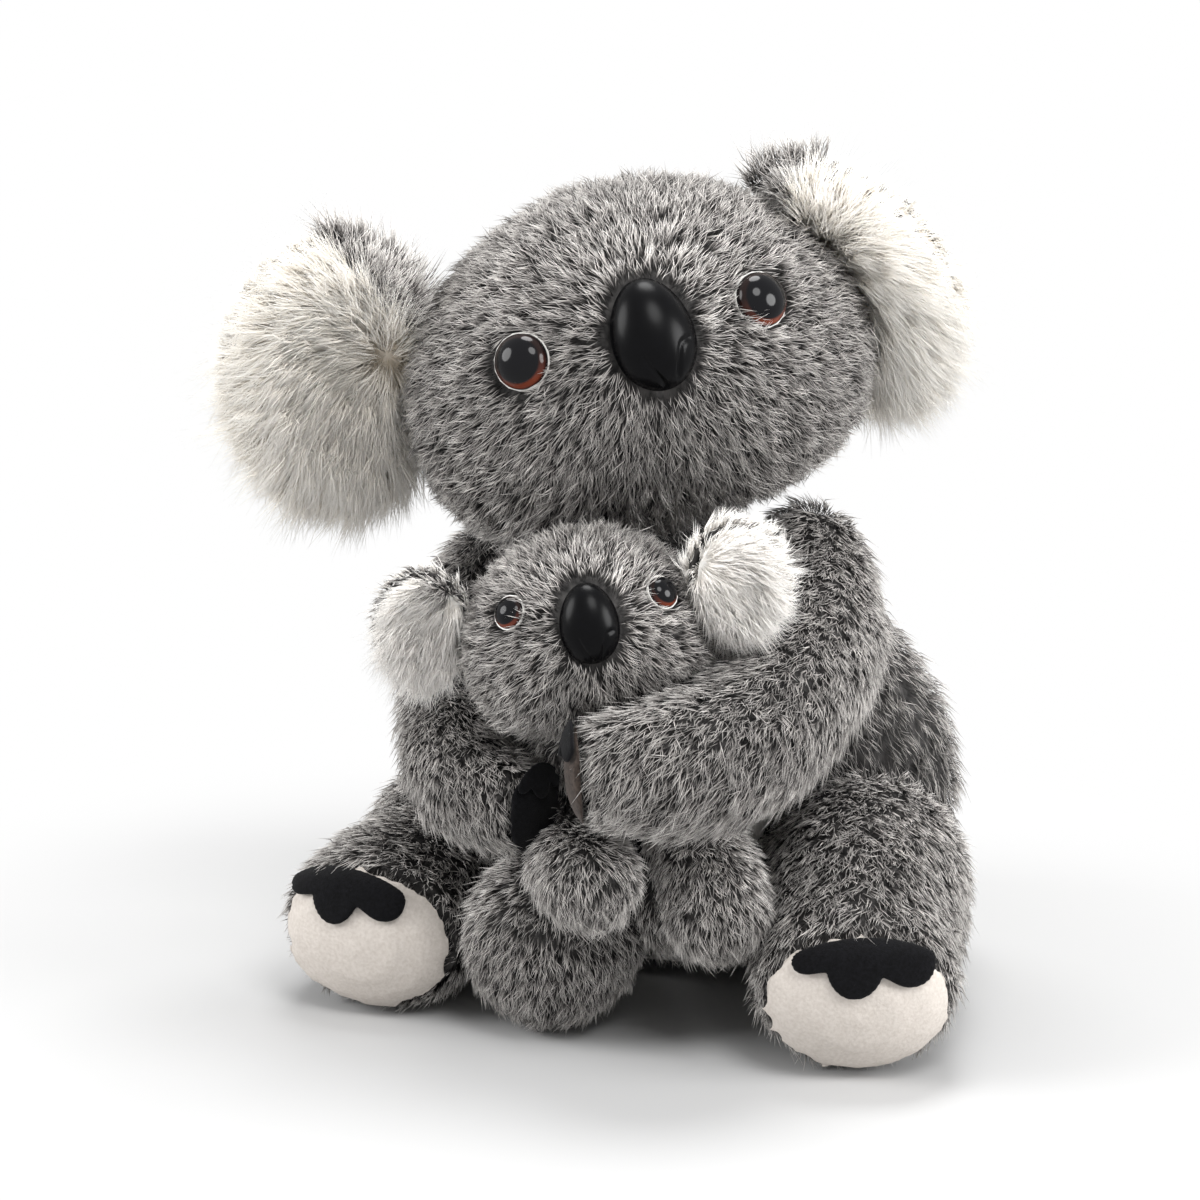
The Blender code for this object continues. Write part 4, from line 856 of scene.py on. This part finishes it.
# Where the claws' upper part starts, as a share of the sole's height, and how much of it is drawn in
clawTuck = {"start": 0.70, "share": 0.45}


def tuck(piece, sole):
    # The upper edge of the toe claws ends at the sole's rim, under the fur.
    centre = centreOf(sole)
    high = placesOf(frame["nodes"][sole].data)
    up = high[np.argmax(high[:, 2])] - centre
    reach = np.linalg.norm(up)
    up /= reach
    places = placesOf(piece.data)
    past = np.maximum((places - centre) @ up - clawTuck["start"] * reach, 0)
    movePlaces(piece.data, places - (clawTuck["share"] * past)[:, None] * up)


def softCopy(node, body, material, sole=None):
    # A felt or suede piece with its solid's corners rounded off.
    piece = copyOfNode(node + "_cloth", node)
    if sole:
        tuck(piece, sole)
    rounding = piece.modifiers.new("rounding", "SUBSURF")
    rounding.levels = rounding.render_levels = 1
    applyAll(piece)
    bpy.ops.object.shade_smooth()
    piece.data.materials.append(material)
    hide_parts(node)
    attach(piece, body)


for side, palm, palmSlot in (("left", brownSuede, "suede"), ("right", blackFelt, "felt")):
    softCopy(f"mother_{side}_palm", f"mother_{side}_arm", palm)
    softCopy(f"mother_{side}_hand_claws", f"mother_{side}_arm", blackFelt)
    softCopy(f"mother_{side}_toe_claws", f"mother_{side}_leg", blackFelt, f"mother_{side}_sole")
for node, piece in frame["nodes"].items():
    if "rim" in node or "washer" in node:
        piece.data.materials.clear()
        piece.data.materials.append(rimWhite)

# Noses: an egg, wider below, with a groove under each nostril. Places are shares of its half width and
# height.
noseLook = {
    "taper": 0.10,
    "back": 0.25,
    "grooves": (((-0.44, -0.37), (-0.30, -0.62), (-0.06, -0.93)),
                ((0.74, -0.25), (0.51, -0.33), (0.38, -0.55), (0.27, -0.83))),
    "grooveDepth": 0.055,
    "grooveWidth": 0.045,
}


def curveThrough(points, steps=12):
    # Places along a smooth line through the given ones.
    rows = np.array([points[0], *points, points[-1]])
    found = []
    for before, start, stop, after in zip(rows, rows[1:], rows[2:], rows[3:]):
        for t in np.linspace(0, 1, steps, endpoint=False):
            square = (2 * before - 5 * start + 4 * stop - after) * t ** 2
            cube = (3 * start - before - 3 * stop + after) * t ** 3
            found.append(0.5 * (2 * start + (stop - before) * t + square + cube))
    return np.array(found)


def buildNose(who):
    head = heads[who]
    halfWidth, halfHeight, rise = head["noseSize"]
    bpy.ops.object.select_all(action="DESELECT")
    bpy.ops.mesh.primitive_uv_sphere_add(segments=120, ring_count=80, radius=1)
    nose = bpy.context.object
    nose.name = f"{who}_nose_egg"
    ball = placesOf(nose.data)
    dip = np.zeros(len(ball))
    for groove in noseLook["grooves"]:
        line = curveThrough(groove)
        gap = np.linalg.norm(ball[:, None, (0, 2)] - line[None], axis=2).min(axis=1)
        dip = np.maximum(dip, np.exp(-(gap / noseLook["grooveWidth"]) ** 2))
    ball *= (1 - noseLook["grooveDepth"] * dip * (ball[:, 1] < 0))[:, None]
    wide = ball[:, 0] * halfWidth * (1 - noseLook["taper"] * ball[:, 2])
    ahead = -ball[:, 1] * rise * np.where(ball[:, 1] < 0, 1, noseLook["back"])
    high = ball[:, 2] * halfHeight
    movePlaces(nose.data, head["nose"] + wide[:, None] * head["side"] + high[:, None] * head["up"]
               + ahead[:, None] * head["front"])
    bpy.ops.object.shade_smooth()
    nose.data.materials.append(satinBlack)
    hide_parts(f"{who}_nose")
    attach(nose, f"{who}_head")


# Eyes: a clear dome over an amber ring and a black pupil, drawn as one opaque dome with painted light in the
# amber; sizes as shares of the dome's radius
eyeLook = {"pupil": 0.80, "iris": 0.96, "rimShows": 0.0004, "riseShare": 0.70}


def eyeMaterial():
    material, shader, wire = makeMaterial("amberEye", {"Roughness": 0.1, "Specular IOR Level": 0.2})
    spot = wire.node("ShaderNodeUVMap", {"uv_map": "OFBake"})
    reach = wire.node("ShaderNodeVectorMath", {"operation": "DISTANCE"}, {0: spot, 1: (0.5, 0.5, 0)}, 1) * 2
    low = wire.node("ShaderNodeSeparateXYZ", sockets={0: spot}).other(1)
    # The amber is painted bright at the bottom, where light from above falls through the clear dome, and
    # dark towards the top: painted light and painted shade
    paintedLightAmber = low.ramp(((0.06, (112, 52, 34)), (0.26, (64, 30, 22)), (0.55, (26, 14, 12))))
    ring = reach.ramp(((eyeLook["pupil"] - 0.03, (0, 0, 0)), (eyeLook["pupil"] + 0.04, (255, 255, 255)),
                       (eyeLook["iris"] - 0.03, (255, 255, 255)), (eyeLook["iris"] + 0.03, (20, 20, 20))))
    wire.feed(shader.inputs["Base Color"], ring.mixed((0.002, 0.002, 0.003, 1), paintedLightAmber))
    return material


def buildEye(who, side, material):
    node = f"{who}_{side}_eye"
    disc = heads[who]["eyes"][side]
    radius = disc["radius"] - eyeLook["rimShows"]
    sideways = np.cross(disc["up"], disc["axis"])
    bpy.ops.object.select_all(action="DESELECT")
    bpy.ops.mesh.primitive_uv_sphere_add(segments=64, ring_count=48, radius=1)
    dome = bpy.context.object
    dome.name = node + "_dome"
    bpy.ops.object.mode_set(mode="EDIT")
    bpy.ops.mesh.select_all(action="SELECT")
    bpy.ops.mesh.bisect(plane_co=(0, 0, -0.02), plane_no=(0, 0, -1), use_fill=True, clear_outer=True)
    bpy.ops.object.mode_set(mode="OBJECT")
    ball = placesOf(dome.data)
    layer = dome.data.uv_layers.active
    layer.name = "OFBake"
    loops = np.empty(len(dome.data.loops), np.int32)
    dome.data.loops.foreach_get("vertex_index", loops)
    layer.data.foreach_set("uv", (ball[loops][:, :2] * 0.5 + 0.5).astype(np.float32).ravel())
    ball *= (radius, radius, radius * eyeLook["riseShare"])
    movePlaces(dome.data, disc["centre"] + ball @ np.array((sideways, disc["up"], disc["axis"])))
    bpy.ops.object.shade_smooth_by_angle(angle=math.radians(40))
    dome.data.materials.append(material)
    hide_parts(node)
    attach(dome, f"{who}_head")


amberEye = eyeMaterial()
for who in heads:
    buildNose(who)
    for side in ("left", "right"):
        buildEye(who, side, amberEye)
print("faces made")

# Floor, world and lamps; round the object the floor is grey as a painted shadow, fading into white farther
# out
studio = {
    "floorReach": 4,
    "paintedShadowGrey": 0.50,
    "paintedShadowMiddle": (0.004, -0.09, 0),
    "paintedShadowFadeStart": 0.16,
    "paintedShadowFadeEnd": 0.31,
    "world": 0.44,
    "lamps": (
        ("keyLamp", (0.9, -1.2, 2.0), 1.0, 26),
        ("fillLamp", (-1.7, -0.9, 1.0), 1.2, 34),
        ("sideLamp", (1.8, -0.3, 0.8), 1.0, 32),
        ("topLamp", (-0.1, 0.5, 2.0), 1.0, 34),
    ),
}


def seenDirectly(wire):
    rays = wire.node("ShaderNodeLightPath")
    return wire.maths("MAXIMUM", wire.maths("MAXIMUM", rays, rays.other(3)), rays.other(6))


bpy.ops.object.select_all(action="DESELECT")
bpy.ops.mesh.primitive_plane_add(size=studio["floorReach"] * 2, location=(0, 0, -0.0001))
floor = bpy.context.object
floor.name = "floorWithPaintedShadow"
material, shader, wire = makeMaterial("floorWithPaintedShadow", {"Roughness": 0.8, "Specular IOR Level": 0.1})
# Within the fade the floor is mid grey. This is a painted shadow round the object, and the lamps' real
# shadows fall on it as well. Farther out it blends into the white glow that the camera sees.
shader.inputs["Base Color"].default_value = (*[studio["paintedShadowGrey"]] * 3, 1)
spots = {0: wire.place(), 1: studio["paintedShadowMiddle"]}
far = wire.node("ShaderNodeVectorMath", {"operation": "DISTANCE"}, spots, 1)
fade = wire.node("ShaderNodeMapRange", {"interpolation_type": "SMOOTHSTEP"},
                 {"Value": far, "From Min": studio["paintedShadowFadeStart"], "From Max": studio["paintedShadowFadeEnd"]})
glow = wire.node("ShaderNodeEmission", sockets={"Color": (1, 1, 1, 1), "Strength": 1.0})
blended = wire.node("ShaderNodeMixShader",
                    sockets={0: seenDirectly(wire) * fade, 1: Wire(wire.tree, shader.outputs[0]), 2: glow})
wire.feed(wire.tree.nodes["Material Output"].inputs["Surface"], blended)
floor.data.materials.append(material)

world = bpy.data.worlds.new("studioWorld")
bpy.context.scene.world = world
world.use_nodes = True
wire = Wire(world.node_tree)
background = world.node_tree.nodes["Background"]
background.inputs["Color"].default_value = (1, 1, 1, 1)
wire.feed(background.inputs["Strength"], seenDirectly(wire) * (1 - studio["world"]) + studio["world"])
for name, place, size, power in studio["lamps"]:
    lampData = bpy.data.lights.new(name, "AREA")
    lampData.shape = "DISK"
    lampData.size = size
    lampData.energy = power
    lamp = bpy.data.objects.new(name, lampData)
    bpy.context.scene.collection.objects.link(lamp)
    lamp.location = place
    lamp.rotation_mode = "QUATERNION"
    lamp.rotation_quaternion = (Vector((0, -0.03, 0.12)) - Vector(place)).to_track_quat("-Z", "Y")
print("studio lit")
